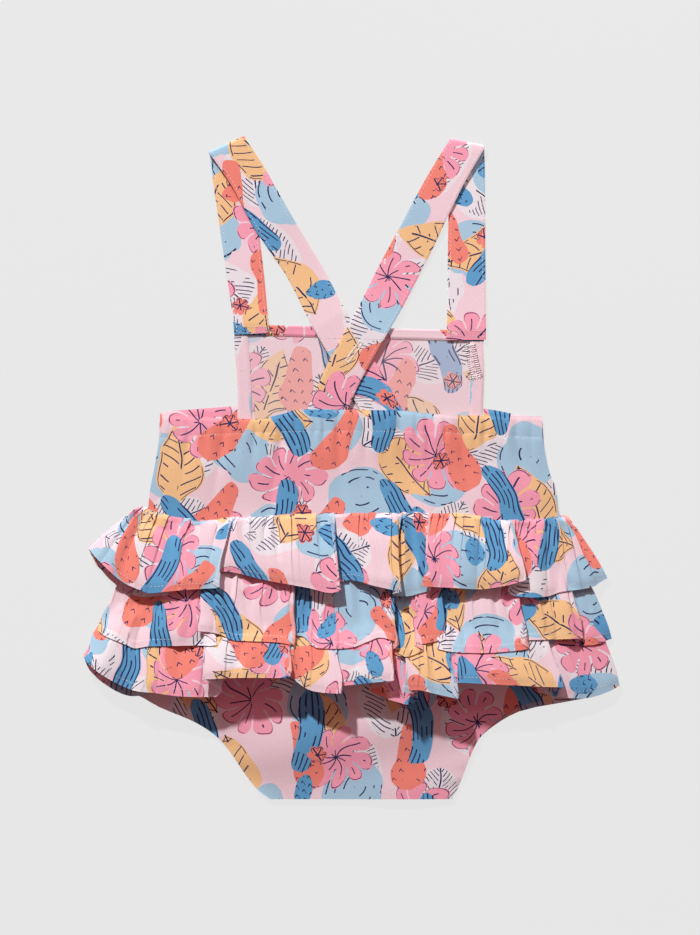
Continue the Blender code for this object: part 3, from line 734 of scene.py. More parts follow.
def draw_leaf(add, point, motif):
    """Fill and line masks of a leaf-like motif."""
    x, y, _, present = lay_motif(add, point, motif)
    if motif.bend:
        square = add(TIMES, y, y)
        x = add(TIMES_PLUS, square, motif.bend, x)
    away = add(MATH, x, operation="ABSOLUTE")
    along = add(TIMES_PLUS, y, 1 / motif.length, 0.5)
    width = add("ShaderNodeFloatCurve", 1.0, along)
    set_profile(width.mapping, motif.profile)
    half = add(TIMES, width, motif.half_width)
    edge = add(MINUS, half, away)
    fill = filled(add, edge, present)
    lines = []
    if motif.midrib:
        lines.append(add(UNDER, away, LINE_HALF_WIDTH))
    if motif.vein_spacing:
        slanted = add(TIMES_PLUS, away, -motif.vein_slant, y)
        veins = strokes(add, slanted, motif.vein_spacing)
        share = add(MATH, away, half, operation="DIVIDE")
        kept = add(NEAR, share, VEIN_MIDDLE, VEIN_REACH)
        lines.append(add(TIMES, veins, kept))
    if motif.stripe_spacing:
        lines.append(strokes(add, x, motif.stripe_spacing))
    if motif.tick_spacing:
        slanted = add(TIMES_PLUS, y, TICK_LEAN, x)
        aside = add(FOLD, slanted, motif.tick_spacing / 2)
        hooked = add(TIMES_PLUS, aside, TICK_HOOK, y)
        short = add(UNDER, aside, TICK_REACH)
        ticks = strokes(add, hooked, motif.tick_spacing)
        lines.append(add(TIMES, ticks, short))
    if motif.outline:
        lines.append(add(NEAR, edge, LEAF_OUTLINE, OUTLINE_HALF_WIDTH))
    return fill, inked(add, lines, fill)


def set_profile(mapping, profile):
    """Set a float curve, which starts with two points, to the points of a profile."""
    points = mapping.curves[0].points
    points[0].location, points[1].location = profile[:2]
    for along, value in profile[2:]:
        points.new(along, value)
    mapping.update()


def draw_round(add, point, motif):
    """Fill and line masks of a round motif."""
    x, y, vector, present = lay_motif(add, point, motif)
    flattened = add(VECTOR_MATH, vector, (1.0, motif.stretch, 1.0), operation="MULTIPLY")
    radius = add(VECTOR_MATH, flattened, operation="LENGTH")
    angle = add(MATH, y, x, operation="ARCTAN2")
    # Rounded lobes with sharp notches: 0 along the middle of a lobe, 1 at a notch
    curl = add(TIMES_PLUS, radius, motif.curl, angle)
    lobe = math.pi / motif.lobes
    aside = add(FOLD, curl, lobe)
    share = add(TIMES, aside, 1 / lobe)
    sharp = add(MATH, share, 3.0, operation="POWER")
    rim = add(TIMES_PLUS, sharp, -motif.radius * motif.depth, motif.radius)
    edge = add(MINUS, rim, radius)
    fill = filled(add, edge, present)
    if motif.slits:
        left = add(MINUS, lobe, aside)
        apart = add(TIMES, left, radius)
        narrow = add(UNDER, apart, SLIT_HALF_WIDTH)
        far = add(OVER, radius, motif.radius * motif.slits)
        slit = add(TIMES, narrow, far)
        fill = add(MINUS, fill, slit)
        fill = add(OVER, fill, 0.5)
    lines = []
    if motif.rays:
        # Rays stop a fifth of the radius inside the edge
        wide = add(TIMES, aside, radius)
        ray = add(UNDER, wide, LINE_HALF_WIDTH)
        inner = add(OVER, edge, motif.radius * 0.2)
        lines.append(add(TIMES, ray, inner))
    if motif.rings:
        # Rings are drawn over two opposite parts of the way round
        ring = strokes(add, radius, motif.rings)
        swing = add(TIMES, angle, 2.0)
        side = add(MATH, swing, operation="COSINE")
        part = add(UNDER, side, -0.1)
        lines.append(add(TIMES, ring, part))
    if motif.outline:
        lines.append(add(NEAR, edge, ROUND_OUTLINE, OUTLINE_HALF_WIDTH))
    return fill, inked(add, lines, fill)


def print_group(colours):
    """The print as a node group, from a place on the flat cloth in metres to its colour."""
    tree = bpy.data.node_groups.new("leaf_print", "ShaderNodeTree")
    tree.interface.new_socket("Cloth", in_out="INPUT", socket_type="NodeSocketVector")
    tree.interface.new_socket("Color", in_out="OUTPUT", socket_type="NodeSocketColor")
    add = partial(add_node, tree)
    entry = add("NodeGroupInput")
    point = add(VECTOR_MATH, entry, named={"Scale": 1 / MM}, operation="SCALE")
    # A slow wobble makes the outlines and lines look drawn by hand
    drift = add(NOISE, point, 0.035, 1.0, noise_dimensions="2D")
    shake = add(VECTOR_MATH, drift.outputs["Color"], (8.0, 8.0, 0.0), point,
                operation="MULTIPLY_ADD")
    # Ink runs dry in places, so lines stop and start
    dry = add(NOISE, point, 0.09, 0.0, noise_dimensions="2D")
    wet = add(OVER, dry, 0.41)
    colour = opaque(colours.ground)
    for motif in print_layers(colours):
        draw = draw_leaf if isinstance(motif, Leaf) else draw_round
        fill, lines = draw(add, shake, motif)
        ink = add(TIMES, lines, wet)
        for mask, dye in ((fill, motif.fill), (ink, colours.ink)):
            colour = add(MIX, mask, colour, opaque(dye), data_type="RGBA")
    add("NodeGroupOutput", colour)
    return tree


def poplin(name, origin, wrong_side):
    """Printed cotton poplin: a matt, close plain weave, whose inside shows the print paler."""
    scene = bpy.context.scene
    group = bpy.data.node_groups.get("leaf_print") or print_group(scene.sunsuit_colours)
    material, tree, shader = new_material(
        name, Roughness=0.88, Diffuse_Roughness=0.2, Specular_IOR_Level=0.22,
        Sheen_Weight=0.06, Sheen_Roughness=0.5)
    add = partial(add_node, tree)
    place = add("ShaderNodeUVMap", uv_map="cloth")
    scale = 1 / scene.sunsuit_sizes.print_scale
    cloth = add(MAPPING, place, (*origin, 0.0), UNTURNED, (scale, scale, 1.0))
    dyed = add("ShaderNodeGroup", named={"Cloth": cloth}, node_tree=group)
    # Yarns take the dye unevenly: 0.25 mm apart in the cloth, drawn at 0.9 mm to show
    slubs = add(NOISE, place, 1100.0, 1.0, noise_dimensions="2D")
    shade = add(MAP_RANGE, slubs, 0.3, 0.7, 0.955, 1.035)
    colour = add(VECTOR_MATH, dyed.outputs["Color"], named={"Scale": shade}, operation="SCALE")
    if wrong_side:
        # The pale dyes stay near the face, and the dark ink soaks through
        darkness = add("ShaderNodeRGBToBW", colour)
        share = add(MAP_RANGE, darkness, 0.03, 0.3, 0.12, 0.4)
        colour = add(MIX, share, colour, opaque(linear(UNDYED)), data_type="RGBA")
    feed(tree, shader.inputs["Base Color"], colour)
    # Plain weave, drawn 0.8 mm from yarn to yarn instead of 0.25 mm
    split = add("ShaderNodeSeparateXYZ", place)
    waves = []
    for direction in ("X", "Y"):
        turns = add(TIMES, split.outputs[direction], math.tau / (0.8 * MM))
        waves.append(add(MATH, turns, operation="SINE"))
    weave = add(TIMES, *waves)
    bump = add("ShaderNodeBump",
               named={"Strength": 0.25, "Distance": 0.05 * MM, "Height": weave})
    feed(tree, shader.inputs["Normal"], bump)
    return material


def thread_material(name, dye):
    """Spun polyester sewing thread: fine and slightly silky, with painted shade in the grooves
    of its twist.
    """
    material, tree, shader = new_material(
        "spun_polyester_" + name, Roughness=0.6, Sheen_Weight=0.1)
    add = partial(add_node, tree)
    place = add("ShaderNodeTexCoord")
    # The twist of the thread is 0.3 mm apart, drawn at 0.5 mm; its grooves are painted shade, a
    # darker copy of the dye.
    twist = add("ShaderNodeTexWave", place.outputs["Object"], 2000.0, 1.0)
    shaded = opaque(0.86 * part for part in dye)
    colour = add(MIX, twist.outputs["Fac"], shaded, opaque(dye), data_type="RGBA")
    feed(tree, shader.inputs["Base Color"], colour)
    return material


# The wrong side's cloth between the dyes, and where each part is cut from the print in metres
UNDYED = "#E9DADC"
CUT_FROM = {"body": (0.4, 0.1), "bib": (0.9, 0.35), "ruffle": (1.7, 0.8), "strap": (2.6, 1.3)}
MATERIALS = {}


def finish_of(name):
    """The material of a cloth's right or wrong side, or of a thread; all are made once."""
    if not MATERIALS:
        for part, origin in CUT_FROM.items():
            for finish, wrong_side in ((part, False), (part + "_inside", True)):
                MATERIALS[finish] = poplin("printed_poplin_" + finish, origin, wrong_side)
        colours = bpy.context.scene.sunsuit_colours
        MATERIALS["thread"] = thread_material("thread", colours.thread)
        # Thread beads in the ink colour, which paint the shade of the bib buttonhole's slit and
        # needle holes
        MATERIALS["slit_shade"] = thread_material("painted_slit_shade", colours.ink)
    return MATERIALS[name]


# ---------------------------------------------------------------- front, bib and straps

# Distance between the rows of the front and the bib, and how many columns they have
FRONT_MESH, BIB_MESH = (3.0, 100), (1.5, 110)
# Heights of the middle of the cloth, and how it swells about them
FRONT_HEIGHT, FRONT_SWELL = 0.75, Wave(0.2, 60, 5)
BIB_HEIGHT, BIB_SWELL = 0.95, Wave(0.35, 75, 8)
WAIST_HEM_HEIGHT, WAIST_HEM_WAVER = 1.35, Wave(0.12, 9, 41)
# Where the front's turned top edge starts, the thickness of its two layers, and what they
# drop to at the fold
WAIST_SEAM, WAIST_HEM_CLOTH, WAIST_HEM_DROP = 29.9, 1.1, 0.5
# How much lower the bib's top edge ends at the right, the widths of its hems, and their cloth
BIB_TILT, TOP_HEM_WIDTH, SIDE_HEM_WIDTH, BIB_HEM_CLOTH = 4.4, 7.0, 9.0, 0.35
# Height of a bib hem, what its outer edge drops over a share of its width, what its inner
# edge drops over its last fifth, and its waver
HemShape = namedtuple("HemShape", "full outer_drop outer_reach inner_drop waver")
TOP_HEM = HemShape(1.75, 0.75, 0.12, 0.7, Wave(0.08, 6, 51))
SIDE_HEM = HemShape(1.7, 0.7, 0.15, 0.6, Wave(0.08, 7, 61))
# Shares of a hem's width at its rows
HEM_SHARES = np.linspace(0, 1, 12)


def panel_grid(levels, row_step, columns):
    """A flat grid that fills a panel's outline, with even rows from its top to its bottom."""
    top, bottom = levels[0].y, levels[-1].y
    y = np.linspace(top, bottom, int((top - bottom) / row_step) + 1)
    left, right = read_table(levels, y)
    x = left[:, None] + (right - left)[:, None] * np.linspace(0, 1, columns)
    return grid_of(x, y[:, None], 0.0)


def build_front(sizes):
    """The front panel, which lies under the back and shows past the right leg's edge."""
    points = onto_node(panel_grid(FRONT_LEVELS, *FRONT_MESH), "front_panel")
    swell = undulation(points[..., 0], points[..., 1], FRONT_SWELL)
    points[..., 2] = FRONT_HEIGHT + swell
    sheet = sew_sheet("front_panel_cloth", points, sizes.cloth / MM, points[..., :2],
                      ("body_inside", "body"))
    dress(sheet, ["front_panel"])


def build_waist_hems():
    """The turned top edge of the front, which stands above the back at both sides."""
    share = HEM_SHARES[::-1, None]
    for side, edge in FRONT_WAIST.items():
        node = "front_waist_hem_" + side
        x = np.linspace(edge[0][0], edge[-1][0], 50)
        top, = read_table(edge, x)
        y = WAIST_SEAM + (top - WAIST_SEAM) * share
        z = WAIST_HEM_HEIGHT - WAIST_HEM_DROP * eased((share - 0.75) / 0.25)
        points = onto_node(grid_of(x, y, z + wander(x, WAIST_HEM_WAVER)), node)
        sheet = sew_sheet(node + "_cloth", points, WAIST_HEM_CLOTH, points[..., :2],
                          ("body", "body_inside"))
        dress(sheet, [node])


def sew_bib_hem(node, x, y, inward, shape, along, off_cloth):
    """Fold one hem onto the bib; inward runs from 0 at its outer edge to 1 at its inner one."""
    z = shape.full - shape.outer_drop * eased(1 - inward / shape.outer_reach)
    z = z - shape.inner_drop * eased((inward - 0.8) / 0.2) + wander(along, shape.waver)
    hem = laid_over(onto_node(grid_of(x, y, z), node), trees_of("bib_cloth"), BIB_HEM_EASE)
    sheet = sew_sheet(node + "_cloth", hem, BIB_HEM_CLOTH, hem[..., :2] + off_cloth,
                      ("bib", "bib_inside"))
    dress(sheet, [node])


def build_bib(sizes):
    """The bib seen from its inside, with its turned top and side hems."""
    top, below = BIB_LEVELS[:2]
    width = top.right - top.left
    points = panel_grid(BIB_LEVELS, *BIB_MESH)
    x, y = points[..., 0], points[..., 1]
    tilt = -BIB_TILT * (x - (top.left + top.right) / 2) / width
    y += tilt * np.clip((y - below.y) / (top.y - below.y), 0, 1)
    points = onto_node(points, "front_bib")
    points[..., 2] = BIB_HEIGHT + undulation(x, y, BIB_SWELL)
    bib = sew_sheet("bib_cloth", points, sizes.cloth / MM, points[..., :2],
                    ("bib_inside", "bib"))
    dress(bib, ["front_bib"])
    across, down = np.linspace(0, 1, 120), HEM_SHARES[:, None]
    x = top.left + width * across
    y = top.y - BIB_TILT * (across - 0.5) - TOP_HEM_WIDTH * down
    sew_bib_hem("bib_top_hem", x, y, down, TOP_HEM, x, (40, 60))
    y = np.linspace(below.y, BIB_LEVELS[-1].y, 60)[:, None]
    left, right = read_table(BIB_LEVELS, y)
    sides = (
        ("left", left, HEM_SHARES, (169, 46)),
        ("right", right - SIDE_HEM_WIDTH, 1 - HEM_SHARES, (-135, 100)),
    )
    for side, edge, inward, off_cloth in sides:
        x = edge + SIDE_HEM_WIDTH * HEM_SHARES
        sew_bib_hem("bib_side_hem_" + side, x, y, inward, SIDE_HEM, y, off_cloth)


BIB_SHEETS = ["bib_cloth", "bib_top_hem_cloth", "bib_side_hem_left_cloth",
              "bib_side_hem_right_cloth"]
# Columns across a strap as shares of its width, and the two that its topstitches follow
STRAP_COLUMNS = np.array([0.0, 0.012, 0.035, 0.074, 0.16, 0.3, 0.43, 0.57, 0.7, 0.84, 0.926,
                          0.965, 0.988, 1.0])
STRAP_STITCHED = (3, 10)
# Distance between a strap's sections, how often their levels are smoothed, and its waver
STRAP_STEP, STRAP_LEVEL_PASSES, STRAP_WAVER = 2.0, 60, Wave(0.12, 16, 71)
# Share of a strap's thickness at its pressed edges and at its sewn end, and over what width
# and length it comes back. Topstitches draw it in by a dip with its own half width.
PRESSED, PRESSED_WIDTH, SEWN_LENGTH = 0.45, 1.1, 9.0
STRAP_DIP, STRAP_DIP_WIDTH = 0.16, 0.5
# Rows of the half turn at the shoulder
FOLD_ROWS = 12
# Places of the straps on the print
STRAP_CUTS = {"left": (0, 0), "right": (90, 35)}


def strap_grid(run):
    """A grid of even sections along a strap's run."""
    rows = np.array(run, float)
    place = running_length((rows[:, 0:2] + rows[:, 2:4]) / 2)
    wanted = np.linspace(0, place[-1], int(place[-1] / STRAP_STEP) + 1)
    sections = smooth_values(place, rows, wanted)
    left, right = sections[:, None, 0:2], sections[:, None, 2:4]
    flat = left + (right - left) * STRAP_COLUMNS[None, :, None]
    return grid_of(flat[..., 0], flat[..., 1], sections[:, 4:])


def lay_run(run, trees, thickness):
    """Lay one run of a strap over what is under it; the strap is stiff, so it lies level."""
    grid = laid_over(strap_grid(run), trees, STRAP_EASE, soften=4)
    level = grid[..., 2].max(axis=1)
    for _ in range(STRAP_LEVEL_PASSES):
        soft = np.convolve(np.pad(level, 2, mode="edge"), np.ones(5) / 5, mode="valid")
        level = np.maximum(level, soft)
    grid[..., 2] = level[:, None] + thickness / 2
    return grid


def shoulder_fold(up, down):
    """The half turn from the end of the run up to the start of the run down."""
    crease = up[-1]
    across = crease[-1] - crease[0]
    outward = np.array([-across[1], across[0], 0.0])
    outward /= np.linalg.norm(outward)
    radius = (down[0, 0, 2] - crease[0, 2]) / 2
    angle = np.linspace(0, math.pi, FOLD_ROWS)[1:, None]
    turn = crease + outward * radius * np.sin(angle)[..., None]
    turn[..., 2] = crease[:, 2] + radius * (1 - np.cos(angle))
    return turn


def build_strap(side, trees, sizes):
    """A doubled strap: up from the bib, over its shoulder fold and down to the waist."""
    thickness = sizes.strap / MM
    up, down = (lay_run(run, trees, thickness) for run in STRAP_RUNS[side])
    points = np.concatenate([up, shoulder_fold(up, down), down])
    waver = wander(np.arange(len(points)) * STRAP_STEP, STRAP_WAVER)
    points[..., :2] += waver[:, None, None]
    width = np.linalg.norm(points[:, -1, :2] - points[:, 0, :2], axis=1).mean()
    along = grid_lengths(points, 0)
    cloth = grid_of(STRAP_COLUMNS * width, -along[:, None]) + STRAP_CUTS[side]
    # Pressed edges are thinner than the four layers of the middle
    edge = np.minimum(STRAP_COLUMNS, 1 - STRAP_COLUMNS) * width
    press = thickness * (PRESSED + (1 - PRESSED) * eased(edge / PRESSED_WIDTH))
    press -= STRAP_DIP * np.exp(-((edge - sizes.edge_inset / MM) / STRAP_DIP_WIDTH) ** 2)
    sewn = PRESSED + (1 - PRESSED) * eased(along / SEWN_LENGTH)[:, None]
    points[..., 2] -= 0.5 * thickness * (1 - sewn)
    name = "strap_" + side
    sheet = sew_sheet(name + "_cloth", points, press * sewn, cloth, ("strap", "strap"),
                      face_share=0.5)
    dress(sheet, [name])


# ---------------------------------------------------------------- back

# Rows of the back's sheet: inside its casing, on the casing's face down to its stitch line,
# and then at distances under the waist
INSIDE_ROWS, CASING_ROWS, BACK_COLUMNS = 12, 18, 210
WAIST_ROW = INSIDE_ROWS + CASING_ROWS - 1
BACK_ROWS = np.concatenate([np.linspace(0.4, 4, 7), np.linspace(5.2, 12, 6),
                            np.arange(14, 238, 2.0), [239.0]])
HALF_WAIST, WAIST_Y, BACK_HEIGHT = 126.1, 20.0, 0.9
# Where the casing's stitch line ends at the sides, and how far its middle rises
LINE_END_Y, LINE_RISE = 19.5, 4.6
# How far the casing's inside stays from the stitch line and from the top edge
INSIDE_START, INSIDE_END = 1.0, 1.2
# How far the casing's face stands out for its elastic, as a share of the casing's thickness,
# what its top edge drops, and what the edge leans back in its middle and further at its ends
CASING_BULGE, EDGE_DROP, LEAN, END_LEAN = 0.09, 0.5, 0.1, 0.4
# Where the seat and the leg edges start under the waist, and over what length they come in
SEAT_START, SEAT_LENGTH, LEGS_START, LEGS_LENGTH = 150, 40, 168, 14
# Dip and half width of the cloth at the waist stitches
WAIST_DIP, WAIST_DIP_WIDTH = 0.12, 0.8
# Small puckers along the waist stitches, along the casing's top edge and at both leg edges
WAIST_PUCKERS, TOP_PUCKERS = Wave(0.5, 3.2, 83), Wave(0.4, 6.5, 84)
LEG_PUCKERS = Wave(0.6, 4.5, 95), Wave(0.6, 4.5, 96)


def casing_line(x):
    """Y of the stitch line under the waist casing, drawn up in the middle."""
    return LINE_END_Y + LINE_RISE * (1 - (x / 126.0) ** 2)


def crown(y, out):
    """Height of the back, which falls from its middle, where out is 0, to its sides at 1."""
    rim, rise = read_table(BACK_CROWN, y)
    return BACK_HEIGHT + rim + rise * (1 - np.clip(out, 0, 1) ** 2.6)


def waist_gathers(x, below):
    """Height of the gathers under the waist: sharp at the stitches, softer down their length."""
    height = np.zeros_like(x)
    for gather in WAIST_GATHERS:
        share = np.clip(below / gather.reach, 0, 1)
        spread = 0.8 * gather.half_width * (1 + 0.9 * share)
        away = np.abs((x - gather.x - gather.lean * share) / spread * 1.7)
        height -= gather.depth * (1 - share) ** 1.3 * np.exp(-away ** 1.4)
    return height


def stitch_dip(away):
    """How far the waist stitches draw in the cloth at a distance from them."""
    return WAIST_DIP * np.exp(-(away / WAIST_DIP_WIDTH) ** 2)


def casing_grid(sizes):
    """The waist casing, from its inside over the top edge down to its stitch line."""
    strength, fill = sizes.gathers, sizes.casing / MM
    x = -HALF_WAIST + 2 * HALF_WAIST * np.linspace(0, 1, BACK_COLUMNS)
    top, = read_table(CASING_TOP, x)
    line = casing_line(x)
    base = crown(line, np.abs(x) / 126.2)
    at_line = waist_gathers(x, np.zeros(BACK_COLUMNS))
    part = np.linspace(0, 1, INSIDE_ROWS)[:, None]
    y = line + INSIDE_START + (top - INSIDE_END - line) * part
    inside = grid_of(x, y, base - 0.9 * fill + 0.4 * strength * at_line)
    part = np.linspace(1, 0, CASING_ROWS)[:, None]
    y = line + (top - line) * part
    pucker = wander(x, WAIST_PUCKERS) * (1 - part) + wander(x, TOP_PUCKERS) * part
    z = base + CASING_BULGE * fill * np.sin(math.pi * part) ** 2
    z = z - EDGE_DROP * eased((part - 0.8) / 0.2)
    z = z + strength * (1.2 * at_line - 0.5 * part * (at_line - at_line.mean()) + pucker)
    z = z - (LEAN + END_LEAN * (x / 126) ** 2) * part - stitch_dip(y - line)
    return np.concatenate([inside, grid_of(x, y, z)])


def back_grid(sizes):
    """The back, from its waist stitches down to the crotch edge."""
    strength, level = sizes.gathers, BACK_ROWS[:, None]
    nominal = WAIST_Y - level * (WAIST_Y - BACK_LEVELS[-1].y) / level[-1]
    left, right = read_table(BACK_LEVELS, nominal)
    x = left + (right - left) * np.linspace(0, 1, BACK_COLUMNS)
    # Near the waist the rows follow the curved stitch line, further down they run level
    line = casing_line(x)
    y = nominal + (line - WAIST_Y) * np.clip(1 - level / 60, 0, 1)
    y = np.minimum(y, line - 0.4)
    out = np.abs(x - (left + right) / 2) / ((right - left) / 2)
    gathers = waist_gathers(x, line - y)
    z = crown(y, out) + strength * (1.2 + 0.5 * eased(level / 14)) * gathers
    # Over the seat the swells stand closer together and higher
    seat = eased((level - SEAT_START) / SEAT_LENGTH)
    swell = undulation(x, y, Wave(1 + 0.5 * seat, 62 - 16 * seat, 91))
    z = z + strength * swell * (1 - out ** 6) * eased(level / 24)
    puckers = np.array([wander(row, WAIST_PUCKERS) for row in x])
    z = z + puckers * np.exp(-level / 6.0) - stitch_dip(line - y)
    for wave, inward in zip(LEG_PUCKERS, (x - left, right - x)):
        leg = wander(level, wave) * eased((level - LEGS_START) / LEGS_LENGTH)
        z = z + strength * leg * np.exp(-inward / 8)
    return grid_of(x, y, z)


def build_back(sizes):
    """The back and its waist casing in one sheet."""
    points = onto_node(np.concatenate([casing_grid(sizes), back_grid(sizes)]),
                       "back_panel", "back_waist_casing")
    inside, outside = points[:INSIDE_ROWS], points[INSIDE_ROWS:]
    inside[..., 2] = np.minimum(inside[..., 2], points[WAIST_ROW, :, 2] - 1.2)
    trees = trees_of("bib_cloth", "strap_left_cloth", "strap_right_cloth", "front_panel_cloth")
    thickness = sizes.cloth / MM
    inside[:] = laid_over(inside, trees, thickness + INSIDE_EASE, soften=3)
    outside[:] = laid_over(outside, trees, thickness + BACK_EASE, soften=3)
    # On the flat cloth the inside of the casing goes on past its top edge
    cloth = points[..., :2].copy()
    cloth[:INSIDE_ROWS, :, 1] = 2 * cloth[INSIDE_ROWS, :, 1] - cloth[:INSIDE_ROWS, :, 1]
    sheet = sew_sheet("back_cloth", points, thickness, cloth, ("body", "body_inside"))
    dress(sheet, ["back_panel", "back_waist_casing"])


# ---------------------------------------------------------------- the ruffles' cloth

# Where columns stand on a tuck, as shares of its width; its crest is the fold that shows
TUCK_COLUMNS = np.array([0.0, 0.2, 0.4, 0.58, 0.7, 0.78, 0.83, 0.9])
TUCK_CREST = 0.78
TUCK_RISES = np.where(TUCK_COLUMNS <= TUCK_CREST, TUCK_COLUMNS / TUCK_CREST,
                      (1 - TUCK_COLUMNS) / (1 - TUCK_CREST))
TUCK_SPACING = 6.0
# Rows as shares of a ruffle's fall, close together at its seam and round its hem stitch
RUFFLE_ROWS = np.concatenate([np.linspace(0, 0.12, 9), np.linspace(0.12, 0.9, 24)[1:],
                              [0.908, 0.915, 0.922, 0.945, 0.97, 0.985, 1.0]])
# The row that the hem stitches follow, where the hem's fold starts and how soon it is full
HEM_STITCH, HEM_START, HEM_STEP = 0.915, 0.911, 0.012
# How far the hem drops, and how high a tier stands off its seam
HEM_DROP, SEAM_LIFT = 0.6, 0.7
HEM_ROW = int(np.searchsorted(RUFFLE_ROWS, HEM_STITCH))
# Fall of a ruffle for the swells that run over it, and the way between its tiers' prints
NOMINAL_FALL, PRINT_STEP = 55, 130
# Waves along a ruffle, whose seeds are added to the tier's: pleats under the seam, puckers at
# it, swells aside, narrow and wide folds that open towards the hem, and swells in height
PLEATS, SEAM_PUCKERS, SWAY = Wave(3.2, 9.5, 1), Wave(0.8, 3.6, 5), Wave(2.2, 36, 6)
NARROW_FOLDS, WIDE_FOLDS, SWELLS = Wave(1.3, 11.0, 2), Wave(1.2, 27.0, 3), Wave(0.8, 34, 4)


def lay_tucks(end, spacing, seed):
    """Lay tucks of varied width along a gathered edge, from 0 to its end.

    Gives the columns' places along the edge, and for each column the tuck's rise from 0 to 1
    at its crest, its width, the way it leans and how far it runs down the cloth.
    """
    chance = np.random.default_rng(seed)
    knots = summed(chance.uniform(0.55, 1.6, int(1.5 * end / spacing)) * spacing)
    knots = np.append(knots[knots < end - spacing / 2], end)
    widths = np.diff(knots)
    leans = np.where(chance.uniform(-1, 1, len(widths)) > -0.2, 1.0, -1.0)
    reaches = chance.uniform(0.3, 0.75, len(widths)) ** 2 * np.sqrt(widths / spacing)
    to_right = TUCK_COLUMNS, TUCK_RISES
    to_left = np.append(0.0, 1 - TUCK_COLUMNS[:0:-1]), np.append(0.0, TUCK_RISES[:0:-1])
    shares, rises = zip(*(to_right if lean > 0 else to_left for lean in leans))
    places = knots[:-1, None] + widths[:, None] * np.array(shares)
    repeated = (np.repeat(values, len(TUCK_COLUMNS)) for values in (widths, leans, reaches))
    columns = [np.append(values, values[-1]) for values in repeated]
    return np.append(places, end), np.append(np.concatenate(rises), 0.0), *columns


def ruffle_grid(tier, below, strength):
    """A tier's cloth, which stands off its seam and falls in pleats and folds to its hem."""
    folds = np.array(tier.folds, float)
    place = running_length(folds[:, 1:])
    along, wave, width, lean, reach = lay_tucks(place[-1], TUCK_SPACING, tier.seed)
    seam_x, hem_x, hem_y, hem_z = smooth_values(place, folds, along).T
    hem_z = hem_z * tier.lift
    seam_y, = read_table(tier.seam, seam_x)
    down = RUFFLE_ROWS[:, None]
    bow = tier.flare * np.sin(math.pi * down ** 0.6) * (np.abs(seam_x) / 150) ** 8
    x = seam_x + (hem_x - seam_x) * down + bow * np.sign(seam_x)
    y = seam_y + (hem_y - seam_y) * down
    seam_z = height_under(seam_x, seam_y, below) + SEAM_LIFT
    seam_z = seam_z + 0.07 * (hem_z - hem_z.mean())
    z = seam_z + (hem_z - seam_z) * (0.55 * down ** 0.7 + 0.45 * (1 - (1 - down) ** 2))
    # Tucks fold over at the seam and open into softer folds on the way down
    spare = 1 - (seam_x[-1] - seam_x[0]) / place[-1]
    opened = np.exp(-down / reach)
    x = x + strength * spare * TUCK_CREST * lean * width * wave * opened
    z = z + strength * 0.3 * width * wave * opened * (0.2 + 0.8 * eased(down / 0.05))

    def of_tier(wave):
        return wave._replace(seed=tier.seed + wave.seed)

    def swells(wave):
        return undulation(along + 0 * down, NOMINAL_FALL * down, of_tier(wave))

    even = wander(along, of_tier(PLEATS._replace(height=1.0)))
    pleat = PLEATS.height * (np.abs(even) ** 0.7 - 0.6)
    z = z + strength * pleat * np.exp(-down / 0.7) * eased(down / 0.08)
    y = y + strength * wander(along, of_tier(SEAM_PUCKERS)) * np.exp(-down / 0.06)
    x = x + strength * swells(SWAY) * down
    fold = wander(along, of_tier(NARROW_FOLDS)) + wander(along, of_tier(WIDE_FOLDS))
    z = z + strength * (fold * (1 - 0.3 * down) + swells(SWELLS)) * down
    return grid_of(x, y, z - HEM_DROP * eased((down - 0.86) / 0.14))


def build_ruffle(number, below, sizes):
    """One gathered tier, creased and laid over the cloth below."""
    name, tier = f"ruffle_tier_{number}", TIERS[number]
    points = onto_node(ruffle_grid(tier, below, sizes.gathers), name)
    thickness = sizes.ruffle_cloth / MM
    points = laid_over(press_creases(points, tier.creases), below, thickness + RUFFLE_EASE,
                       soften=4)
    hem = eased((RUFFLE_ROWS[:, None] - HEM_START) / HEM_STEP) * sizes.hem_extra / MM
    lengths, fall = grid_lengths(points[-1:], 1), grid_lengths(points, 0)
    cloth = grid_of(lengths, -fall[:, None]) + (0, PRINT_STEP * number)
    sheet = sew_sheet(name + "_cloth", points, thickness + hem, cloth,
                      ("ruffle", "ruffle_inside"))
    dress(sheet, [name])


# ---------------------------------------------------------------- stitching

# One stitch and the distance to the next one
Stitch = namedtuple("Stitch", "along across pitch height")
STRAP_HOLE_STITCH = Stitch(0.5 * MM, 1.25 * MM, 0.45 * MM, 0.35 * MM)
# The worn buttonhole is seen from its inside. Beads in the dark ink colour along its slit, and
# along the outer ends of its stitches on one side, are painted shade of the slit and of its
# needle holes.
BIB_HOLE_STITCH = Stitch(0.7 * MM, 3.8 * MM, 1.35 * MM, 0.6 * MM)
SLIT_SHADE_BEADS = Stitch(0.7 * MM, 0.55 * MM, 2.9 * MM, 0.9 * MM)
# How far stitches stand over the cloth, and the thicker ones of the worn buttonhole
STITCH_LIFT, BIB_HOLE_LIFT = 0.1, 0.25
# Ends of the buttonholes in the strap and in the bib and of the bib's slit, and how far apart
# the lines of stitches along them are. Along the slit these lines carry dark beads of painted
# shade.
STRAP_HOLE, STRAP_HOLE_WIDTH = ((6.6, 82.6), (-2.6, 69.8)), 2.4
BIB_HOLE, BIB_HOLE_WIDTH = ((78.2, 80.5), (82.6, 59.5)), 4.6
SLIT, SLIT_WIDTHS = ((78.2, 79.8), (82.6, 60.2)), (1.3, 7.4)
# A strap is stitched from its second section on, and its last eight stay bare
STITCHED_SECTIONS = slice(1, -8)
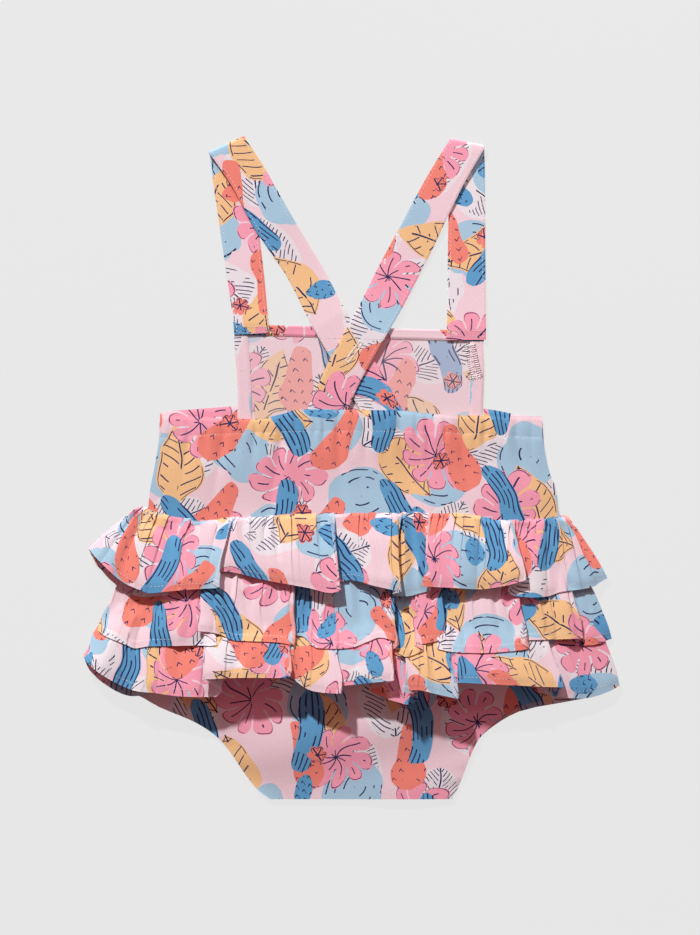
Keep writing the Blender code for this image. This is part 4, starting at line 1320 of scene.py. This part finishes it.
# Lines of (x, y) places on the bib and the strap ends: the box of the left strap's end, two
# rows across the right one's, the corner of the left side hem, and the hems themselves
BIB_LINES = [
    [(-75.5, 92.6), (-55.2, 92.8), (-55.0, 89.6), (-75.2, 89.0), (-75.5, 92.6)],
    [(64.3, 90.6), (87.4, 90.0)],
    [(64.2, 86.6), (87.6, 86.4)],
    [(-67.3, 84.0), (-67.3, 64.4), (-77.0, 64.4)],
    [(-77.0, 87.2), (-40.0, 86.2), (0.0, 85.2), (40.0, 84.0), (87.0, 82.9)],
    [(-67.0, 63.0), (-66.2, 42.0)],
    [(78.7, 60.0), (78.4, 42.0)],
]


def stitch_tree():
    """Geometry nodes that lay stitches along lines: one small bead of thread at each pitch."""
    tree = bpy.data.node_groups.new("stitch_run", "GeometryNodeTree")
    new_socket = tree.interface.new_socket
    new_socket("Lines", in_out="INPUT", socket_type="NodeSocketGeometry")
    for name in ("Pitch", "Along", "Across", "Height"):
        socket = new_socket(name, in_out="INPUT", socket_type="NodeSocketFloat")
        socket.subtype = "DISTANCE"
    new_socket("Thread", in_out="INPUT", socket_type="NodeSocketMaterial")
    new_socket("Stitches", in_out="OUTPUT", socket_type="NodeSocketGeometry")
    add = partial(add_node, tree)
    sizes = add("NodeGroupInput").outputs
    curve = add("GeometryNodeMeshToCurve", sizes["Lines"])
    even = add("GeometryNodeResampleCurve", mode="LENGTH",
               named={"Curve": curve, "Length": sizes["Pitch"]})
    tangent = add("GeometryNodeInputTangent")
    upright = add("GeometryNodeInputNamedAttribute", "cloth_normal", data_type="FLOAT_VECTOR")
    follow = add("FunctionNodeAlignRotationToVector", axis="X", named={"Vector": tangent})
    stand = add("FunctionNodeAlignRotationToVector", axis="Z", pivot_axis="X",
                named={"Rotation": follow, "Vector": upright.outputs["Attribute"]})
    bead = add("GeometryNodeMeshUVSphere", 6, 4, 0.5)
    smooth = add("GeometryNodeSetShadeSmooth", bead.outputs["Mesh"])
    size = add("ShaderNodeCombineXYZ", sizes["Along"], sizes["Across"], sizes["Height"])
    laid = add("GeometryNodeInstanceOnPoints",
               named={"Points": even, "Instance": smooth, "Rotation": stand, "Scale": size})
    real = add("GeometryNodeRealizeInstances", laid)
    coloured = add("GeometryNodeSetMaterial", real, named={"Material": sizes["Thread"]})
    add("NodeGroupOutput", coloured)
    return tree


def sew_stitches(name, lines, stitch, thread="thread"):
    """Lay one group of stitches along lines of (points, normals) and make it a plain mesh."""
    tree = bpy.data.node_groups.get("stitch_run") or stitch_tree()
    vertices, edges, normals = [], [], []
    for points, upright in lines:
        start = len(vertices)
        vertices += (np.asarray(points) * MM).tolist()
        normals += np.asarray(upright).tolist()
        edges += [(start + step, start + step + 1) for step in range(len(points) - 1)]
    mesh = bpy.data.meshes.new(name + "_lines")
    mesh.from_pydata(vertices, edges, [])
    layer = mesh.attributes.new("cloth_normal", "FLOAT_VECTOR", "POINT")
    layer.data.foreach_set("vector", np.array(normals, np.float32).ravel())
    guide = new_object(name + "_lines", mesh)
    modifier = guide.modifiers.new("stitches", "NODES")
    modifier.node_group = tree
    wanted = {**stitch._asdict(), "thread": finish_of(thread)}
    for item in tree.interface.items_tree:
        if item.name.lower() in wanted:
            modifier[item.identifier] = wanted[item.name.lower()]
    graph = bpy.context.evaluated_depsgraph_get()
    plain = bpy.data.meshes.new_from_object(guide.evaluated_get(graph), depsgraph=graph)
    bpy.data.objects.remove(guide)
    plain.name = name
    piece = new_object(name, plain)
    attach(piece, BODY)


def on_top(places, lift=STITCH_LIFT):
    """A stitch line through (x, y) places, laid on top of the bib and the straps."""
    places = np.array(places, float)
    steps = running_length(places)
    wanted = np.linspace(0, steps[-1], max(3, int(steps[-1])))
    x, y = (np.interp(wanted, steps, places[:, axis]) for axis in (0, 1))
    trees = trees_of(*BIB_SHEETS, "strap_left_cloth", "strap_right_cloth")
    points = np.stack([x, y, height_under(x, y, trees) + lift], axis=1)
    return points, np.tile([0.0, 0.0, 1.0], (len(points), 1))


def buttonhole(start, end, width):
    """The lines of a worked buttonhole: two long sides and a short bar at each end."""
    start, end = np.array(start, float), np.array(end, float)
    along = (end - start) / np.linalg.norm(end - start)
    across = np.array([-along[1], along[0]]) * width / 2
    first, second = (start + across, end + across), (start - across, end - across)
    return [first, second, (first[0], second[0]), (first[1], second[1])]


def build_stitching(sizes):
    """Topstitching of hems, casing and straps, the two buttonholes, and dark beads of painted
    shade in the bib buttonhole's slit.
    """
    top = Stitch(sizes.stitch, sizes.thread, sizes.pitch, 0.7 * sizes.thread)
    tiers = [SHEETS[f"ruffle_tier_{number}_cloth"] for number in sorted(TIERS)]
    hems = [(tier.face[HEM_ROW], tier.normals[HEM_ROW]) for tier in tiers]
    sew_stitches("ruffle_hem_stitches", hems, top)
    back = SHEETS["back_cloth"]
    waist = back.face[WAIST_ROW, 2:-2], back.normals[WAIST_ROW, 2:-2]
    sew_stitches("waist_stitches", [waist], top)
    edges = []
    for side in ("left", "right"):
        strap = SHEETS[f"strap_{side}_cloth"]
        under = strap.face - strap.normals * sizes.strap / MM * 0.9
        # The stitches show on both sides, as the strap turns over at the shoulder
        for column in STRAP_STITCHED:
            upright = strap.normals[STITCHED_SECTIONS, column]
            edges.append((strap.face[STITCHED_SECTIONS, column], upright))
            edges.append((under[STITCHED_SECTIONS, column], -upright))
    sew_stitches("strap_stitches", edges, top)
    sew_stitches("bib_stitches", [on_top(line) for line in BIB_LINES], top)
    hole = [on_top(line) for line in buttonhole(*STRAP_HOLE, STRAP_HOLE_WIDTH)]
    sew_stitches("strap_buttonhole", hole, STRAP_HOLE_STITCH)
    worn = [on_top(line, BIB_HOLE_LIFT) for line in buttonhole(*BIB_HOLE, BIB_HOLE_WIDTH)]
    sew_stitches("bib_buttonhole", worn, BIB_HOLE_STITCH)
    # Dark beads along the slit and at one side of the worn buttonhole are painted shade
    narrow, wide = (buttonhole(*SLIT, width) for width in SLIT_WIDTHS)
    slit = [on_top(line, BIB_HOLE_LIFT) for line in narrow[:2] + wide[:1]]
    sew_stitches("bib_buttonhole_slit_shade", slit, SLIT_SHADE_BEADS, thread="slit_shade")


# ---------------------------------------------------------------- stage

# Places of the lamps in metres: a crisp key far over the shoulders, a soft one near them
KEY_PLACE, KEY_RADIUS = Vector((-1.26, 3.31, 2.26)), 0.11
SOFT_PLACE, SOFT_SIZE = Vector((0.25, 0.45, 0.45)), 0.3
# The floor's half width and its distance under the part, and where the camera looks, in metres
# from the part's middle
FLOOR_REACH, FLOOR_GAP = 6.0, 0.0004
CAMERA_SHIFT = (-0.0007, -0.0003)
# The share of the floor's paleness that is its own, so that only a light shadow stays on it
FLOOR_GLOW = 0.93


def hang_lamp(name, kind, power, colour, place, **settings):
    """Hang a lamp at its place and turn it to the garment."""
    lamp = bpy.data.lights.new(name, kind)
    lamp.energy, lamp.color = power, colour
    for setting, value in settings.items():
        setattr(lamp, setting, value)
    piece = new_object(name, lamp)
    piece.location = place
    piece.rotation_euler = (-place).to_track_quat("-Z", "Y").to_euler()


def lay_floor(settings):
    """A plain floor of painted matt board, even and without gloss."""
    mesh = bpy.data.meshes.new("studio_floor")
    low = CAD_LOW.z - FLOOR_GAP
    ways = ((-1, -1), (1, -1), (1, 1), (-1, 1))
    corners = [(FLOOR_REACH * x, FLOOR_REACH * y, low) for x, y in ways]
    mesh.from_pydata(corners, [], [(0, 1, 2, 3)])
    floor = new_object("studio_floor", mesh)
    pale = opaque(settings.floor)
    board, tree, shader = new_material("painted_board", Base_Color=pale, Roughness=0.95,
                                       Specular_IOR_Level=0.1)
    add = partial(add_node, tree)
    glow = add("ShaderNodeEmission", pale, 1.0)
    path = add("ShaderNodeLightPath")
    seen = add(TIMES, path.outputs["Is Camera Ray"], FLOOR_GLOW)
    mixed = add("ShaderNodeMixShader", seen, shader, glow)
    feed(tree, tree.nodes["Material Output"].inputs["Surface"], mixed)
    mesh.materials.append(board)


def fill_world(settings):
    """An even fill from all round, which the camera sees in the floor's colour."""
    world = bpy.data.worlds.new("studio_fill")
    world.use_nodes = True
    tree = world.node_tree
    add = partial(add_node, tree)
    even = tree.nodes["Background"]
    feed(tree, even.inputs["Color"], opaque(settings.fill_colour))
    feed(tree, even.inputs["Strength"], settings.fill)
    path = add("ShaderNodeLightPath")
    wall = add("ShaderNodeBackground", opaque(settings.floor), 1.0)
    shown = add("ShaderNodeMixShader", path.outputs["Is Camera Ray"], even, wall)
    feed(tree, tree.nodes["World Output"].inputs["Surface"], shown)
    bpy.context.scene.world = world


def build_stage(settings):
    """A plain pale floor, a crisp key lamp, a soft lamp, an even fill and the camera."""
    lay_floor(settings)
    hang_lamp("studio_key", "POINT", settings.key, settings.key_colour, KEY_PLACE,
              shadow_soft_size=KEY_RADIUS)
    hang_lamp("studio_soft_lamp", "AREA", settings.soft, settings.key_colour, SOFT_PLACE,
              shape="DISK", size=SOFT_SIZE)
    fill_world(settings)
    lens = bpy.data.cameras.new("camera")
    lens.sensor_width = 36.0
    lens.lens = lens.sensor_width * settings.camera_height / settings.view_height
    camera = new_object("camera", lens)
    centre = (CAD_LOW + CAD_HIGH) / 2
    aside, down = CAMERA_SHIFT
    camera.location = (centre.x + aside, centre.y + down, settings.camera_height)
    scene = bpy.context.scene
    scene.camera = camera
    scene.view_settings.view_transform = "Standard"


# ---------------------------------------------------------------- operators

class SewFront(bpy.types.Operator):
    """Sew the front panel, its waist hems and the bib"""

    bl_idname = "sunsuit.sew_front"
    bl_label = "Front and bib"

    def execute(self, context):
        sizes = context.scene.sunsuit_sizes
        build_front(sizes)
        build_waist_hems()
        build_bib(sizes)
        return {"FINISHED"}


class SewStraps(bpy.types.Operator):
    """Fold the two shoulder straps and cross them over the bib"""

    bl_idname = "sunsuit.sew_straps"
    bl_label = "Straps"

    def execute(self, context):
        under = list(BIB_SHEETS)
        for side in ("left", "right"):
            build_strap(side, trees_of(*under), context.scene.sunsuit_sizes)
            under.append(f"strap_{side}_cloth")
        return {"FINISHED"}


class SewBack(bpy.types.Operator):
    """Lay the gathered back with its waist casing over the front"""

    bl_idname = "sunsuit.sew_back"
    bl_label = "Back and casing"

    def execute(self, context):
        build_back(context.scene.sunsuit_sizes)
        return {"FINISHED"}


class SewRuffles(bpy.types.Operator):
    """Gather the three ruffles, the lowest tier first"""

    bl_idname = "sunsuit.sew_ruffles"
    bl_label = "Ruffles"

    def execute(self, context):
        under = ["front_panel_cloth", "back_cloth"]
        for number in sorted(TIERS, reverse=True):
            build_ruffle(number, trees_of(*under), context.scene.sunsuit_sizes)
            under.append(f"ruffle_tier_{number}_cloth")
        return {"FINISHED"}


class SewStitching(bpy.types.Operator):
    """Topstitch the hems, the casing and the straps, work the buttonholes and lay painted shade
    in the bib buttonhole's slit
    """

    bl_idname = "sunsuit.sew_stitching"
    bl_label = "Stitching"

    def execute(self, context):
        build_stitching(context.scene.sunsuit_sizes)
        return {"FINISHED"}


class SetStage(bpy.types.Operator):
    """Set up the floor, the lamps and the camera"""

    bl_idname = "sunsuit.set_stage"
    bl_label = "Stage"

    def execute(self, context):
        build_stage(context.scene.sunsuit_stage)
        return {"FINISHED"}


OPERATORS = (SewFront, SewStraps, SewBack, SewRuffles, SewStitching, SetStage)
GROUPS = {
    "sunsuit_sizes": SunsuitSizes,
    "sunsuit_colours": SunsuitColours,
    "sunsuit_stage": SunsuitStage,
}


class SunsuitPanel(bpy.types.Panel):
    """Buttons for every step, and the sizes and colours they use"""

    bl_idname = "VIEW3D_PT_sunsuit"
    bl_label = "Ruffled Sunsuit"
    bl_space_type = "VIEW_3D"
    bl_region_type = "UI"
    bl_category = "Sunsuit"

    def draw(self, context):
        layout = self.layout
        for operator in OPERATORS:
            layout.operator(operator.bl_idname)
        for name, kind in GROUPS.items():
            column = layout.column()
            for setting in kind.__annotations__:
                column.prop(getattr(context.scene, name), setting)


CLASSES = (*GROUPS.values(), *OPERATORS, SunsuitPanel)


def register():
    for kind in CLASSES:
        bpy.utils.register_class(kind)
    for name, group in GROUPS.items():
        setattr(bpy.types.Scene, name, bpy.props.PointerProperty(type=group))


def unregister():
    for name in GROUPS:
        delattr(bpy.types.Scene, name)
    for kind in reversed(CLASSES):
        bpy.utils.unregister_class(kind)


def main():
    register()
    for operator in OPERATORS:
        name = operator.bl_idname.split(".")[1]
        getattr(bpy.ops.sunsuit, name)()
    bpy.context.view_layer.update()


if __name__ == "__main__":
    main()
